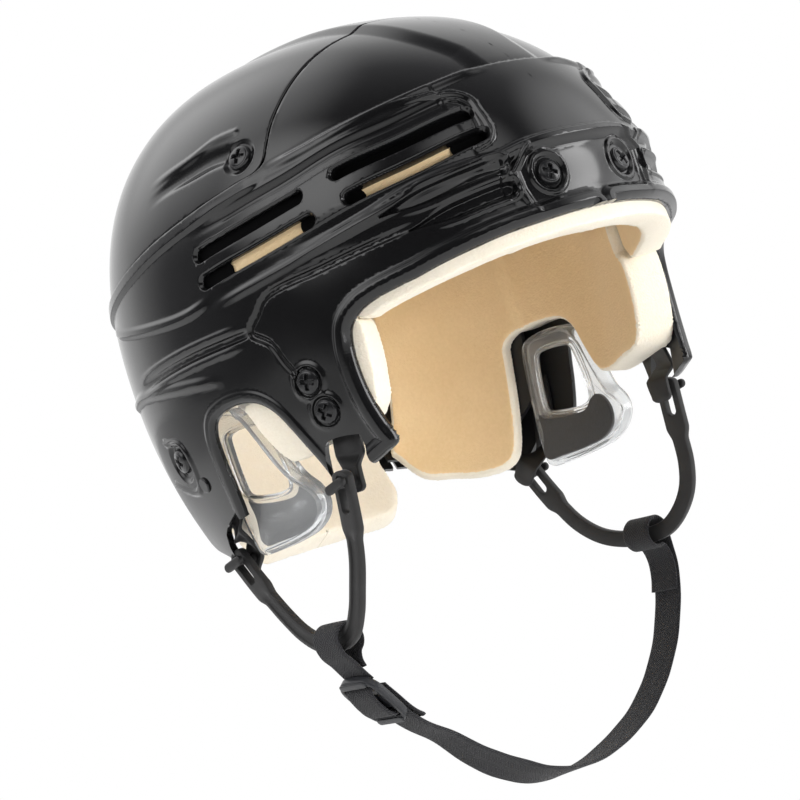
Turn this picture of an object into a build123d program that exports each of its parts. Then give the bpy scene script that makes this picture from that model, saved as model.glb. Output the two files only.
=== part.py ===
from build123d import *
import math
import os
import numpy as np

# Ice hockey helmet, medium, worn size about 253 long x 213 wide.
# Frame: +X wearer's left, +Y back, +Z up, millimetres.
# Origin: middle of the head opening, level with the lower ear area.

# ---------------------------------------------------------------- driving sizes
HALF_WIDTH = 106.2          # half width of the shell at its widest level
FRONT_LENGTH = 129.8        # reach of the front half
REAR_LENGTH = 120.8         # reach of the rear half
CROWN_HEIGHT = 124.0        # crown above the widest level
WIDEST_Z = 54.4             # level where the shell is widest
SHELL_T = 2.8               # shell wall
TRAVEL = 8.0                # size adjustment of the rear shell
FLANGE_OUT, FLANGE_IN = 5.8, 8.0      # inset flange of the front shell at the crown
WING_OUT, WING_IN = 9.8, 12.2         # inset wings of the rear shell under the arms
LINER_OUT = 3.5             # outer face of the foam, from the shell surface
LINER_IN = 16.5             # inner face of the foam
COLUMN_HALF = 55.0          # half width of the rear shell's back column
ARM_END = 56.2              # half width left open between the two arms at the back
SEAM_GAP = 0.6              # gap along the seam between the two shells
LOOP_T = 3.6                # chin loop, thickness across the head
LOOP_W = 7.0                # chin loop, width in its own plane
PADDLE_W = 10.4             # width of the loop's slotted ends
SHANK_R = 1.5               # T stud shank
WEB_T = 1.6                 # webbing thickness
WEB_W = 15.0                # webbing width
WRAP_R = 5.6                # inner radius of the webbing's wraps
BASE_Z = -45.0              # lowest level of the construction domes

# stud places on the wearer's left, mirrored to the right
STUD_FRONT = np.array([95.2, -40.8, 0.0])
STUD_REAR = np.array([86.3, 42.0, -19.5])
WRAP_Y, WRAP_Z = -9.0, -57.6

os.makedirs("parts", exist_ok=True)


# ---------------------------------------------------------------- shell surface
def outside(x, y, z):
    y = y - 6.5 - 0.095 * (z - 60.0)
    s = 1 / (1 + np.exp(-np.clip(y / 22.0, -30, 30)))
    a = FRONT_LENGTH * (1 - s) + REAR_LENGTH * s
    p = 2.19 * (1 - s) + 2.02 * s
    q = 2.45 * (1 - s) + 2.43 * s
    xe = x / (1 + 0.043 * y / 130.0)
    g = (np.abs(xe / HALF_WIDTH) ** p + np.abs(y / a) ** p) ** (1 / p)
    up = z > WIDEST_Z
    h = np.where(up, (z - WIDEST_Z) / CROWN_HEIGHT, 0.0)
    low = np.where(up, 0.0, (WIDEST_Z - z) / 86.4)
    return np.where(up, (g ** q + np.abs(h) ** q) ** (1 / q) - 1, g / (1 - 0.164 * low ** 2) - 1)


CENTRE = np.array([0.0, 4.0, 62.0])


def along(d):
    lo = np.zeros(d.shape[:-1])
    hi = np.full(d.shape[:-1], 260.0)
    for _ in range(40):
        m = (lo + hi) / 2
        p = CENTRE + d * m[..., None]
        f = outside(p[..., 0], p[..., 1], p[..., 2])
        hi = np.where(f > 0, m, hi)
        lo = np.where(f > 0, lo, m)
    return CENTRE + d * ((lo + hi) / 2)[..., None]


def normals(p):
    e = 0.02
    g = []
    for i in range(3):
        a = np.array(p, dtype=float)
        b = np.array(p, dtype=float)
        a[..., i] += e
        b[..., i] -= e
        g.append(outside(a[..., 0], a[..., 1], a[..., 2]) - outside(b[..., 0], b[..., 1], b[..., 2]))
    g = np.stack(g, -1)
    return g / np.linalg.norm(g, axis=-1, keepdims=True)


def left_point(y, z):
    """Point and outward normal on the wearer's left side at this y and z."""
    lo, hi = 0.0, 130.0
    for _ in range(50):
        m = (lo + hi) / 2
        if outside(np.array(m), np.array(y), np.array(z)) > 0:
            hi = m
        else:
            lo = m
    p = np.array([lo, y, z])
    return p, normals(p)


def crown_top(offset):
    y = np.linspace(-40, 60, 201)
    d = np.stack([y * 0, y, y * 0 + 110.0], -1)
    d /= np.linalg.norm(d, axis=-1, keepdims=True)
    p = along(d)
    return float((p + offset * normals(p))[:, 2].max())


def dome(inset, n=24, k=12):
    """Closed solid under the shell surface, moved in by inset along the normal."""
    top = crown_top(-inset) - 0.8
    zs = BASE_Z + (top - BASE_Z) * np.sin(np.pi / 2 * np.arange(k) / (k - 1))
    a = np.arange(n) * 2 * np.pi / n
    z = np.repeat(zs[:, None], n, 1)
    aa = np.repeat(a[None, :], k, 0)
    lo = np.zeros((k, n))
    hi = np.full((k, n), 3.0)
    for _ in range(34):
        m = (lo + hi) / 2
        d = np.stack([np.sin(m) * np.sin(aa), np.sin(m) * np.cos(aa), np.cos(m)], -1)
        p = along(d)
        p = p - inset * normals(p)
        hi = np.where(p[..., 2] < z, m, hi)
        lo = np.where(p[..., 2] < z, lo, m)
    p[..., 2] = z
    # every ring has the same even parameters, so that the lofted surface stays light
    even = [i / n for i in range(n + 1)]
    wires = []
    for row in p:
        wires.append(Wire([Edge.make_spline([Vector(*map(float, q)) for q in row], parameters=even, periodic=True)]))
    return Solid.make_loft(wires, ruled=False)


D0 = dome(0.0)
D_SHELL = dome(SHELL_T)
D_FL_OUT = dome(FLANGE_OUT)
D_FL_IN = dome(FLANGE_IN)
D_WING_OUT = dome(WING_OUT)
D_WING_IN = dome(WING_IN)
D_LIN_OUT = dome(LINER_OUT)
D_LIN_IN = dome(LINER_IN)
D_REAR_OUT = dome(WING_IN + 0.5)
D_REAR_IN = dome(19.0)
D_TOP_IN = dome(21.0)

# ---------------------------------------------------------------- side-view outlines (y, z)
# brow line, temple corner and front edge of the cheek lobe
LIP = [(-121, 75.4), (-118, 74.4), (-111, 72.9), (-103, 70.6), (-95, 68.4), (-88, 66.2), (-80, 64.4),
       (-73, 62.6), (-67, 59.8), (-63, 55.6), (-61.6, 50.2), (-61.2, 41.4), (-62.0, 29.6), (-64.2, 18.2),
       (-65.8, 12.7), (-65.6, 9.4), (-60, 6.4), (-52, 3.2)]
# ear cut-out, front edge, top and rear edge
EAR = [(-34.9, 3.0), (-33.6, 8.0), (-29.4, 18.1), (-21.7, 32.3), (-16, 37.2), (-10, 39.3), (-2, 39.8),
       (5.4, 38.6), (11.3, 36.1), (14.6, 31), (15.6, 24), (16, 15), (17.4, 0.5), (22.2, -15.8)]
BOTTOM_REAR = [(30, -17.8), (40, -18.6), (47, -18.6), (53, -16.4), (64, -13.5), (80, -7.0), (100, -1.0), (140, 3.0)]
CUT_AWAY = ([(-150, 75.4)] + LIP + [(-44, 2.6)] + EAR + BOTTOM_REAR + [(150, 3.0), (150, -70), (-150, -70)])
# seam between the front shell and the rear shell
SEAM = [(-38.5, 178), (-37.5, 165), (-36.5, 150), (-35.8, 139), (-35.9, 131.8), (-35.6, 126),
        (-32.5, 122.6), (-22.3, 120.2), (-1.8, 116.0), (22.7, 110.6), (45.2, 104.8), (70, 98.6),
        (95, 92.6), (150, 79.5)]
FRONT_REGION = [(-38.5, 210)] + SEAM + [(150, -60), (-160, -60), (-160, 210)]
SEAM_B = [(y + SEAM_GAP, z + SEAM_GAP) for y, z in SEAM]
REAR_REGION = [(-38.5 + SEAM_GAP, 210)] + SEAM_B + [(160, 79.5), (160, 210)]
# strip of the front shell just ahead of the seam that steps in to the flange
RISER = [(-38.5, 210), (-38.5, 178), (-37.5, 165), (-36.5, 150), (-35.8, 139), (-35.9, 131.8), (-35.6, 126),
         (-32.5, 122.6), (-22.3, 120.2), (-1.8, 116.0), (27, 109.6), (27, 107.0), (-2.4, 113.5),
         (-22.9, 117.7), (-34.2, 120.2), (-38.1, 125), (-38.3, 131.8), (-38.2, 139), (-38.9, 150),
         (-39.9, 165), (-40.9, 178), (-40.9, 210)]
FLANGE = [(-40.4, 210), (-40.4, 178), (-38, 139), (-38, 125), (-33, 119), (-22, 117), (27, 106.5),
          (27, 117), (-8, 124.5), (-8, 210)]
# strip of the rear shell just above the arms that steps in to the wings
WING_STEP = [(33, 108.3), (45.2, 105.4), (70, 99.2), (95, 93.2), (150, 80.1), (150, 82.6), (95, 95.7),
             (70, 101.7), (45.2, 107.9), (33, 110.8)]
WING = [(33, 110), (33, 10), (40, 2), (60, -6), (80, -2), (100, 3), (140, 6), (150, 82), (95, 94.5),
        (70, 100.5), (45.2, 106.7)]
COLUMN = [(20, 114), (45.2, 106.7), (70, 100.5), (95, 94.5), (150, 81.5), (150, 5), (130, 2.5), (100, -1),
          (80, -7), (60, -14), (20, -20)]
# notches in the lobes where the strap tabs come out
NOTCH_FRONT = [(-54.0, 16.8), (-39.0, 16.8), (-36.0, 8.0), (-34.6, 2.0), (-34.0, -12), (-54.0, -12)]
NOTCH_REAR = [(21.6, 0.6), (40.2, -7.4), (45.5, -9.8), (53, -15.4), (54, -32), (8, -32), (8, -2.6), (21.0, -2.6)]


def prism(points, x0, x1):
    """Side-view outline carried from x0 to x1."""
    wire = Wire.make_polygon([(x0, y, z) for y, z in points], close=True)
    return Solid.extrude(Face(wire), Vector(x1 - x0, 0, 0))


def wide(points):
    return prism(points, -150, 150)


def slot_box(points3, height, depth_out, depth_in):
    """Vent slot through the shell: rounded slot along a chord, square to the surface."""
    a, b = [np.array(p, dtype=float) for p in points3]
    mid = (a + b) / 2
    d = mid - CENTRE
    p = along((d / np.linalg.norm(d))[None])[0]
    nn = normals(p)
    x = (b - a) - nn * np.dot(b - a, nn)
    length = float(np.linalg.norm(b - a))
    pl = Plane(origin=tuple(mid - nn * depth_in), x_dir=tuple(x), z_dir=tuple(nn))
    with BuildPart() as slot_cutter:
        with BuildSketch(pl):
            SlotOverall(length, height)
        extrude(amount=depth_in + depth_out)
    return slot_cutter.part


VENTS_LEFT = [
    ([(101.6, -2.7, 99.5), (87.7, -50.3, 107.9)], 5.0),
    ([(78.3, -65.7, 111.7), (37.7, -97.8, 120.1)], 5.0),
    ([(103.4, -3.9, 88.8), (88.9, -54.9, 97.8)], 5.0),
    ([(79.3, -70.4, 101.2), (37.7, -102.9, 110.7)], 5.0),
]


def screw_axis(p, n, z_out):
    return Plane(origin=tuple(p + n * z_out), z_dir=tuple(n))


def mirrored(shape):
    return shape.mirror(Plane.YZ)


# screw places on the left side: point on the surface and its normal
P_FRONT = np.array([20.5, -116.0, 91.6])
_d = P_FRONT - CENTRE
P_FRONT = along((_d / np.linalg.norm(_d))[None])[0]
N_FRONT = normals(P_FRONT)
P_T1, N_T1 = left_point(-41.2, 40.3)
P_T2, N_T2 = left_point(-44.5, 27.8)
P_LOW, N_LOW = left_point(47.2, 25.4)
P_UP, N_UP = left_point(-23.0, 131.4)


def rod(p, n, a, b, r):
    """Round rod along n, from a to b measured outward from p."""
    with BuildPart() as rod_part:
        with BuildSketch(Plane(origin=tuple(p + n * a), z_dir=tuple(n))):
            Circle(r)
        extrude(amount=b - a)
    return rod_part.part


def travel_slot(p, n, a, b, r, dy):
    """Rod swept by dy along Y, as one slot-shaped cutter."""
    q = p + np.array([0.0, dy, 0.0])
    mid = (p + q) / 2
    u = (q - p) - n * np.dot(q - p, n)
    length = float(np.linalg.norm(u))
    pl = Plane(origin=tuple(mid + n * a), x_dir=tuple(u), z_dir=tuple(n))
    with BuildPart() as slot_part:
        with BuildSketch(pl):
            SlotCenterToCenter(length, 2 * r)
        extrude(amount=b - a)
    return slot_part.part


SKIN = D0 - D_SHELL

# ---------------------------------------------------------------- front shell
front_skin = SKIN & wide(FRONT_REGION)
riser_band = (D0 - D_FL_IN) & wide(RISER)
flange_band = (D_FL_OUT - D_FL_IN) & wide(FLANGE)
cut_away = wide(CUT_AWAY)
notch_front = wide(NOTCH_FRONT)
notch_rear = wide(NOTCH_REAR)
front_cutters = [slot_box(ends, h, 8, 9) for ends, h in VENTS_LEFT]
front_cutters += [rod(P_FRONT, N_FRONT, -8, 6, 2.9), rod(P_FRONT, N_FRONT, -1.3, 6, 6.3),
                  rod(P_T1, N_T1, -8, 6, 2.9), rod(P_T2, N_T2, -8, 6, 2.9),
                  rod(P_T1, N_T1, -0.9, 6, 5.7), rod(P_T2, N_T2, -0.9, 6, 5.7),
                  rod(P_LOW, N_LOW, -8, 6, 2.9), rod(P_LOW, N_LOW, -1.3, 6, 6.3),
                  travel_slot(P_UP, N_UP, -14, -4, 2.7, TRAVEL)]
P_RV, N_RV = left_point(34.0, 14.0)
front_cutters.append(rod(P_RV, N_RV, -4, 4, 1.9))
front_cutters += [mirrored(c) for c in front_cutters]

with BuildPart() as front_shell:
    add(front_skin)
    # the arms end short of the back column
    with BuildSketch(Plane.XY.offset(-50)):
        with Locations((0, 75)):
            Rectangle(2 * ARM_END, 150)
    extrude(amount=150 + 5, mode=Mode.SUBTRACT)
    add(riser_band)
    add(flange_band)
    add(cut_away, mode=Mode.SUBTRACT)
    add(notch_front, mode=Mode.SUBTRACT)
    add(notch_rear, mode=Mode.SUBTRACT)
    add(front_cutters, mode=Mode.SUBTRACT)
front_shell.part.label = "front_shell"
print("front_shell", len(front_shell.part.solids()), round(front_shell.part.volume))

# ---------------------------------------------------------------- rear shell
dome_skin = SKIN & wide(REAR_REGION)
column_skin = SKIN & prism(COLUMN, -COLUMN_HALF, COLUMN_HALF)
step_band = ((D0 - D_WING_IN) & wide(WING_STEP))
wing_band = (D_WING_OUT - D_WING_IN) & wide(WING)
side_step = (D0 - D_WING_IN) & wide(WING)
rear_cutters = [rod(P_UP, N_UP, -8, 6, 2.9), rod(P_UP, N_UP, -1.3, 6, 6.3),
                travel_slot(P_LOW, N_LOW, -18, -7, 2.9, -TRAVEL)]
rear_cutters += [mirrored(c) for c in rear_cutters]

with BuildPart() as wings:
    add(wing_band)
    with BuildSketch(Plane.XY.offset(-50)):
        with Locations((0, 80)):
            Rectangle(2 * (COLUMN_HALF - 2.4), 200)
    extrude(amount=300, mode=Mode.SUBTRACT)

with BuildPart() as upper_step:
    add(step_band)
    with BuildSketch(Plane.XY.offset(-50)):
        with Locations((0, 80)):
            Rectangle(2 * (COLUMN_HALF - 2.4), 200)
    extrude(amount=300, mode=Mode.SUBTRACT)

with BuildPart() as column_step:
    add(side_step)
    with BuildSketch(Plane.XY.offset(-50)):
        with Locations((0, 80)):
            Rectangle(2 * COLUMN_HALF, 200)
    extrude(amount=300, mode=Mode.INTERSECT)
    with BuildSketch(Plane.XY.offset(-50)):
        with Locations((0, 80)):
            Rectangle(2 * (COLUMN_HALF - 2.4), 200)
    extrude(amount=300, mode=Mode.SUBTRACT)

with BuildPart() as rear_shell:
    add(dome_skin)
    add(column_skin)
    add(wings.part)
    add(upper_step.part)
    add(column_step.part)
    add(rear_cutters, mode=Mode.SUBTRACT)
rear_shell.part.label = "rear_shell"
print("rear_shell", len(rear_shell.part.solids()), round(rear_shell.part.volume))

# ---------------------------------------------------------------- foam liners
FOREHEAD = [(-150, 108), (-61.8, 104), (-61.8, 62.8), (-66.0, 57.6), (-68.6, 57.2), (-73, 58.4), (-80, 60.2), (-88, 62.0),
            (-95, 63.6), (-103, 65.4), (-111, 67.4), (-121, 69.6), (-150, 70)]
SIDE = [(-61.2, 100), (-61.2, 62), (-65.2, 57), (-66.0, 48), (-65.2, 36), (-61.5, 23), (-56, 18.2), (-40, 15),
        (-24, 12.0), (-18.2, 12.6), (-14.4, 16), (-8.0, 27), (-3.6, 36.5), (1.5, 41.0), (12, 42.6), (26, 41.8),
        (34, 39.8), (39.4, 36), (40.2, 28), (40.4, -12), (42, -17), (46, -20), (60, -21), (72, -18.5),
        (84, -15), (97, 0), (100, 78), (62, 90), (-10, 99.5), (-30, 102)]
SIDE_FRONT = prism(SIDE, 5, 150) & prism([(-80, -40), (32, -40), (32, 130), (-80, 130)], 5, 150)
SIDE_REAR = prism(SIDE, 49, 150) & prism([(29, -40), (90, -40), (90, 130), (29, 130)], 5, 150)

forehead_foam = (D_LIN_OUT - D_LIN_IN) & prism(FOREHEAD, -104, 104)
forehead_cut = rod(P_FRONT, N_FRONT, -9, 0, 5.6)
with BuildPart() as liner_forehead:
    add(forehead_foam)
    add([forehead_cut, mirrored(forehead_cut)], mode=Mode.SUBTRACT)
liner_forehead.part.label = "liner_forehead"

side_front_foam = (D_LIN_OUT - D_LIN_IN) & SIDE_FRONT
side_rear_foam = (D_REAR_OUT - D_REAR_IN) & SIDE_REAR
# room in the foam for the nuts, the strap tab and the ear guard's tongue
D_TAB_ROOM = dome(6.6)
side_rooms = [rod(P_T1, N_T1, -9, 0, 6.2), rod(P_T2, N_T2, -9, 0, 6.2), rod(P_LOW, N_LOW, -16.6, 0, 6.4),
              prism([(-53.5, 8), (-37.5, 8), (-37.5, 36.5), (-53.5, 36.5)], 60, 150) & (D0 - D_TAB_ROOM),
              (D0 - D_TAB_ROOM) & prism([(24.5, -10), (40, -10), (42.5, 24), (26, 24)], 60, 120),
              (D0 - dome(5.8)) & prism([(6, 52), (6, 30), (-8, 33.6), (-34, 33.8), (-48.5, 33.8),
                                        (-48.5, 48), (-34, 51)], 60, 120)]
with BuildPart() as liner_side_left:
    add(side_front_foam)
    add(side_rear_foam)
    add(side_rooms, mode=Mode.SUBTRACT)
liner_side_left.part.label = "liner_side_left"

with BuildPart() as liner_side_right:
    add(mirrored(liner_side_left.part))
liner_side_right.part.label = "liner_side_right"

crown_front_foam = (dome(9.6) - D_TOP_IN) & prism([(-12, 144), (-12, 200), (-100, 200), (-100, 144)], -62, 62)
with BuildPart() as liner_crown_front:
    add(crown_front_foam)
liner_crown_front.part.label = "liner_crown_front"

crown_rear_foam = (D_LIN_OUT - dome(15.0)) & prism([(2, 116), (2, 200), (130, 200), (130, 116)], -78, 78)
with BuildPart() as liner_crown_rear:
    add(crown_rear_foam)
liner_crown_rear.part.label = "liner_crown_rear"

occipital_foam = (D_LIN_OUT - D_LIN_IN) & prism([(60, -28), (150, -28), (150, 76), (60, 76)], -47, 47)
with BuildPart() as liner_occipital:
    add(occipital_foam)
liner_occipital.part.label = "liner_occipital"


# ---------------------------------------------------------------- screws and nuts
def pan_screw(p, n, head_z, head_h, head_r, shank_to, shank_r):
    """Pan head with a cross recess; head_z is the underside of the head outward from p."""
    pl = Plane(origin=tuple(p + n * head_z), z_dir=tuple(n))
    with BuildPart() as screw:
        with BuildSketch(pl):
            Circle(head_r)
        extrude(amount=head_h)
        fillet(screw.faces().sort_by(Axis(origin=tuple(p), direction=tuple(n)))[-1].edges(), head_h * 0.55)
        with BuildSketch(pl):
            Circle(shank_r)
        extrude(amount=-(head_z - shank_to))
        top = Plane(origin=tuple(p + n * (head_z + head_h + 0.5)), z_dir=tuple(n))
        with BuildSketch(top):
            Rectangle(head_r * 1.05, 1.1)
            Rectangle(1.1, head_r * 1.05)
        extrude(amount=-(0.5 + head_h * 0.5), mode=Mode.SUBTRACT)
    return screw.part


def t_nut(p, n, face_z, flange_r, flange_t, hole_r):
    """Round threaded insert flange inside the shell; face_z is its outer face."""
    with BuildPart() as nut:
        with BuildSketch(Plane(origin=tuple(p + n * (face_z - flange_t)), z_dir=tuple(n))):
            Circle(flange_r)
            Circle(hole_r, mode=Mode.SUBTRACT)
        extrude(amount=flange_t)
    return nut.part


def pair(name, solids):
    """The given left-side solids and their mirror images as one group."""
    out = []
    for s in solids:
        out += list(s.solids()) + list(mirrored(s).solids())
    group = Compound(children=[Solid(s.wrapped) for s in out])
    group.label = name
    return group


front_screws = pair("front_screws", [pan_screw(P_FRONT, N_FRONT, -1.25, 2.3, 5.4, -6.4, 2.4)])
front_screw_nuts = pair("front_screw_nuts", [t_nut(P_FRONT, N_FRONT, -3.1, 5.2, 2.0, 2.5)])
temple_screws = pair("temple_screws", [pan_screw(P_T1, N_T1, -0.85, 2.7, 5.2, -8.2, 2.2),
                                       pan_screw(P_T2, N_T2, -0.85, 2.7, 5.2, -8.2, 2.2)])
temple_nuts = pair("temple_nuts", [t_nut(P_T1, N_T1, -6.4, 5.4, 1.8, 2.3), t_nut(P_T2, N_T2, -6.4, 5.4, 1.8, 2.3)])
lower_adjust_screws = pair("lower_adjust_screws", [pan_screw(P_LOW, N_LOW, -1.25, 2.3, 5.4, -15.0, 2.2)])
lower_adjust_nuts = pair("lower_adjust_nuts", [t_nut(P_LOW, N_LOW, -12.9, 5.6, 2.2, 2.3)])
upper_adjust_screws = pair("upper_adjust_screws", [pan_screw(P_UP, N_UP, -1.25, 2.3, 5.4, -10.6, 2.2)])
upper_adjust_nuts = pair("upper_adjust_nuts", [t_nut(P_UP, N_UP, -8.5, 5.6, 2.0, 2.3)])

# ---------------------------------------------------------------- ear guards
GUARD = [(31.9, 30), (30.6, 35.6), (26, 38.4), (12, 40.0), (4.5, 38.8), (0, 35.0), (-4.6, 26.5), (-9.6, 14.8),
         (-13.4, 8), (-19, 2.5), (-21.3, -3), (-19.0, -9), (-11.5, -14.2), (0, -17), (16, -18.8), (26.5, -19.2),
         (29.2, -17.4), (30.2, -13.4), (31.4, -6), (31.8, 4)]
WINDOW = [(24.0, 25), (23.2, 29.0), (20, 30.6), (6, 30.8), (2.5, 29.8), (0.6, 26), (-3.4, 8.5), (-2.5, 5.0),
          (1.5, 3.6), (19, 4.4), (23.4, 6.0), (24.2, 10)]
EAR_FELT = [(26.4, 4.2), (24.0, 2.6), (-2.0, 1.4), (-6, 5.2), (-9.6, 6.6), (-13, 5.2), (-16.4, -0.7), (-15.8, -7.3),
            (-10.2, -12.0), (0, -14.2), (18, -15.6), (25.6, -15.8), (27.8, -13.4), (26.0, -4)]
PLATE_X, PLATE_T, PLATE_LEAN = 85.8, 2.4, 0.105      # inner face at z = 0, thickness, lean outward per mm of z


def shrink(points, d):
    """Outline moved in by d, for outlines that are nearly convex."""
    pts = np.array(points, dtype=float)
    nxt = np.roll(pts, -1, 0)
    prv = np.roll(pts, 1, 0)
    t = nxt - prv
    t /= np.linalg.norm(t, axis=1)[:, None]
    area = 0.5 * np.sum(pts[:, 0] * nxt[:, 1] - nxt[:, 0] * pts[:, 1])
    nrm = np.stack([-t[:, 1], t[:, 0]], 1) * (1 if area > 0 else -1)
    return [tuple(map(float, q)) for q in pts + nrm * d]


def leaning(x0, x1):
    """Slab between two planes that lean with the plate, x0 and x1 are their places at z = 0."""
    wire = Wire.make_polygon([(x0 - 40 * PLATE_LEAN, -90, -40), (x1 - 40 * PLATE_LEAN, -90, -40),
                              (x1 + 60 * PLATE_LEAN, -90, 60), (x0 + 60 * PLATE_LEAN, -90, 60)], close=True)
    return Solid.extrude(Face(wire), Vector(0, 150, 0))


D_GUARD = dome(3.3)
PLATE_OUT = PLATE_X + PLATE_T
guard_block = (prism(GUARD, 70, 110) & D_GUARD & leaning(PLATE_X, 140)) - (prism(shrink(GUARD, 2.2), 70, 115)
                                                                         & leaning(PLATE_OUT, 140))
# the rear wall is low, and there is none where the strap tab passes
guard_block = guard_block - (prism([(24.5, -30), (40, -30), (40, 50), (24.5, 50)], 70, 115) & leaning(90.4, 140))
guard_block = guard_block - (prism([(24.5, -30), (40, -30), (40, 2), (24.5, 2)], 70, 115) & leaning(PLATE_OUT, 140))
guard_block = guard_block - prism(WINDOW, 70, 115)
window_frame = (prism(shrink(WINDOW, -2.0), 70, 115) - prism(WINDOW, 70, 115)) & leaning(PLATE_OUT - 0.2, PLATE_OUT + 1.4)
# tongue that runs forward inside the shell to the upper temple screw
guard_tongue = (D_GUARD - dome(5.4)) & prism([(4.4, 49), (4.8, 36.4), (1.2, 33.6), (-1.6, 33.8), (-6, 39.6),
                                              (-34, 34.6), (-47.5, 34.6), (-47.5, 47), (-34, 50)], 60, 120)
guard_hole = rod(P_T1, N_T1, -9, 2, 2.6)
with BuildPart() as ear_guard_left:
    add(guard_block)
    # raised frame round the window, outside
    add(window_frame)
    add(guard_tongue)
    add(guard_hole, mode=Mode.SUBTRACT)
ear_guard_left.part.label = "ear_guard_left"
print("guard", len(ear_guard_left.part.solids()))
with BuildPart() as ear_guard_right:
    add(mirrored(ear_guard_left.part))
ear_guard_right.part.label = "ear_guard_right"

felt_sheet = prism(EAR_FELT, 70, 110) & leaning(PLATE_X - 2.45, PLATE_X - 0.05)
with BuildPart() as ear_felt_left:
    add(felt_sheet)
ear_felt_left.part.label = "ear_felt_left"
with BuildPart() as ear_felt_right:
    add(mirrored(ear_felt_left.part))
ear_felt_right.part.label = "ear_felt_right"

# ---------------------------------------------------------------- strap tabs with T studs
U_DIR = np.array([STUD_REAR[0] - STUD_FRONT[0], STUD_REAR[1] - STUD_FRONT[1], 0.0])
U_DIR /= np.linalg.norm(U_DIR)
W_DIR = np.array([U_DIR[1], -U_DIR[0], 0.0])
HINGE = (STUD_REAR - STUD_FRONT) / np.linalg.norm(STUD_REAR - STUD_FRONT)
TAB_T = 2.0


def tab_face(c, u, n, width):
    """Rectangle across the tab: width along u, thickness along n."""
    u = np.array(u, dtype=float)
    n = np.array(n, dtype=float)
    u /= np.linalg.norm(u)
    n = n - u * np.dot(n, u)
    n /= np.linalg.norm(n)
    a = c + u * width / 2 + n * TAB_T / 2
    b = c - u * width / 2 + n * TAB_T / 2
    d = c - u * width / 2 - n * TAB_T / 2
    e = c + u * width / 2 - n * TAB_T / 2
    return Wire.make_polygon([tuple(map(float, q)) for q in (a, b, d, e)], close=True)


def tab_row(y, z, depth, run, width):
    """Section of a tab that follows the shell at this depth; run is the tab's own direction in (y, z)."""
    p, n = left_point(y, z)
    r = np.array([0.0, run[0], run[1]])
    r = r - n * np.dot(r, n)
    u = np.cross(n, r)
    return tab_face(p - n * depth, u, n, width)


def tab_skew(y, z, depth, across, width):
    """Section of a tab at this depth whose width runs along across in (y, z)."""
    p, n = left_point(y, z)
    u = np.array([0.0, across[0], across[1]])
    u = u - n * np.dot(u, n)
    return tab_face(p - n * depth, u, n, width)


def t_stud(stud):
    """Shank through the loop's slot, with its cross bar along the loop's swing axis."""
    with BuildPart() as stud_part:
        with BuildSketch(Plane(origin=tuple(stud - W_DIR * 5.4), z_dir=tuple(W_DIR))):
            Circle(SHANK_R)
        extrude(amount=5.4 + 3.2)
        x_dir = HINGE - W_DIR * np.dot(HINGE, W_DIR)
        with BuildSketch(Plane(origin=tuple(stud + W_DIR * 2.9), x_dir=tuple(x_dir), z_dir=tuple(W_DIR))):
            SlotOverall(13.0, 3.4)
        extrude(amount=2.4)
    return stud_part.part


def make_tab(rows, stud, hole):
    solid = Solid.make_loft(rows, ruled=True)
    stud_solid = t_stud(stud)
    with BuildPart() as tab_part:
        add(solid)
        add(stud_solid)
        add(hole, mode=Mode.SUBTRACT)
    return tab_part.part


V_REAR = np.array([0.0, 0.64, -0.77])
V_REAR = V_REAR - W_DIR * np.dot(V_REAR, W_DIR)
V_REAR /= np.linalg.norm(V_REAR)
U_REAR = np.cross(W_DIR, V_REAR)
TAB_FACE = -(LOOP_T / 2 + 2.9 + TAB_T / 2)

front_rows = [
    tab_row(-45.2, 33.0, 4.7, (0, -1), 11.0),
    tab_row(-46.0, 18.4, 4.7, (0, -1), 12.0),
    tab_row(-46.2, 10.0, 1.7, (0.1, -1), 12.4),
    tab_face(STUD_FRONT + W_DIR * TAB_FACE + np.array([0, 0, 5.2]), U_DIR, W_DIR, 10.6),
    tab_face(STUD_FRONT + W_DIR * TAB_FACE + np.array([0, 0, -3.4]), U_DIR, W_DIR, 9.4),
]
front_tab_solid = make_tab(front_rows, STUD_FRONT, rod(P_T2, N_T2, -9, 2, 2.6))
with BuildPart() as strap_tab_front_left:
    add(front_tab_solid)
strap_tab_front_left.part.label = "strap_tab_front_left"
with BuildPart() as strap_tab_front_right:
    add(mirrored(strap_tab_front_left.part))
strap_tab_front_right.part.label = "strap_tab_front_right"

rear_rows = [
    tab_row(34.6, 19.5, 4.05, (-0.1, -1), 10.4),
    tab_skew(32.6, -4.9, 4.45, (-0.89, 0.45), 11.6),
    tab_skew(34.6, -9.9, 2.4, (-0.89, 0.45), 12.0),
    tab_face(STUD_REAR + W_DIR * TAB_FACE - V_REAR * 5.6, U_REAR, W_DIR, 10.6),
    tab_face(STUD_REAR + W_DIR * TAB_FACE + V_REAR * 3.4, U_REAR, W_DIR, 9.4),
]
rear_tab_solid = make_tab(rear_rows, STUD_REAR, rod(P_RV, N_RV, -9, 2, 1.9))
with BuildPart() as strap_tab_rear_left:
    add(rear_tab_solid)
strap_tab_rear_left.part.label = "strap_tab_rear_left"
with BuildPart() as strap_tab_rear_right:
    add(mirrored(strap_tab_rear_left.part))
strap_tab_rear_right.part.label = "strap_tab_rear_right"

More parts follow.
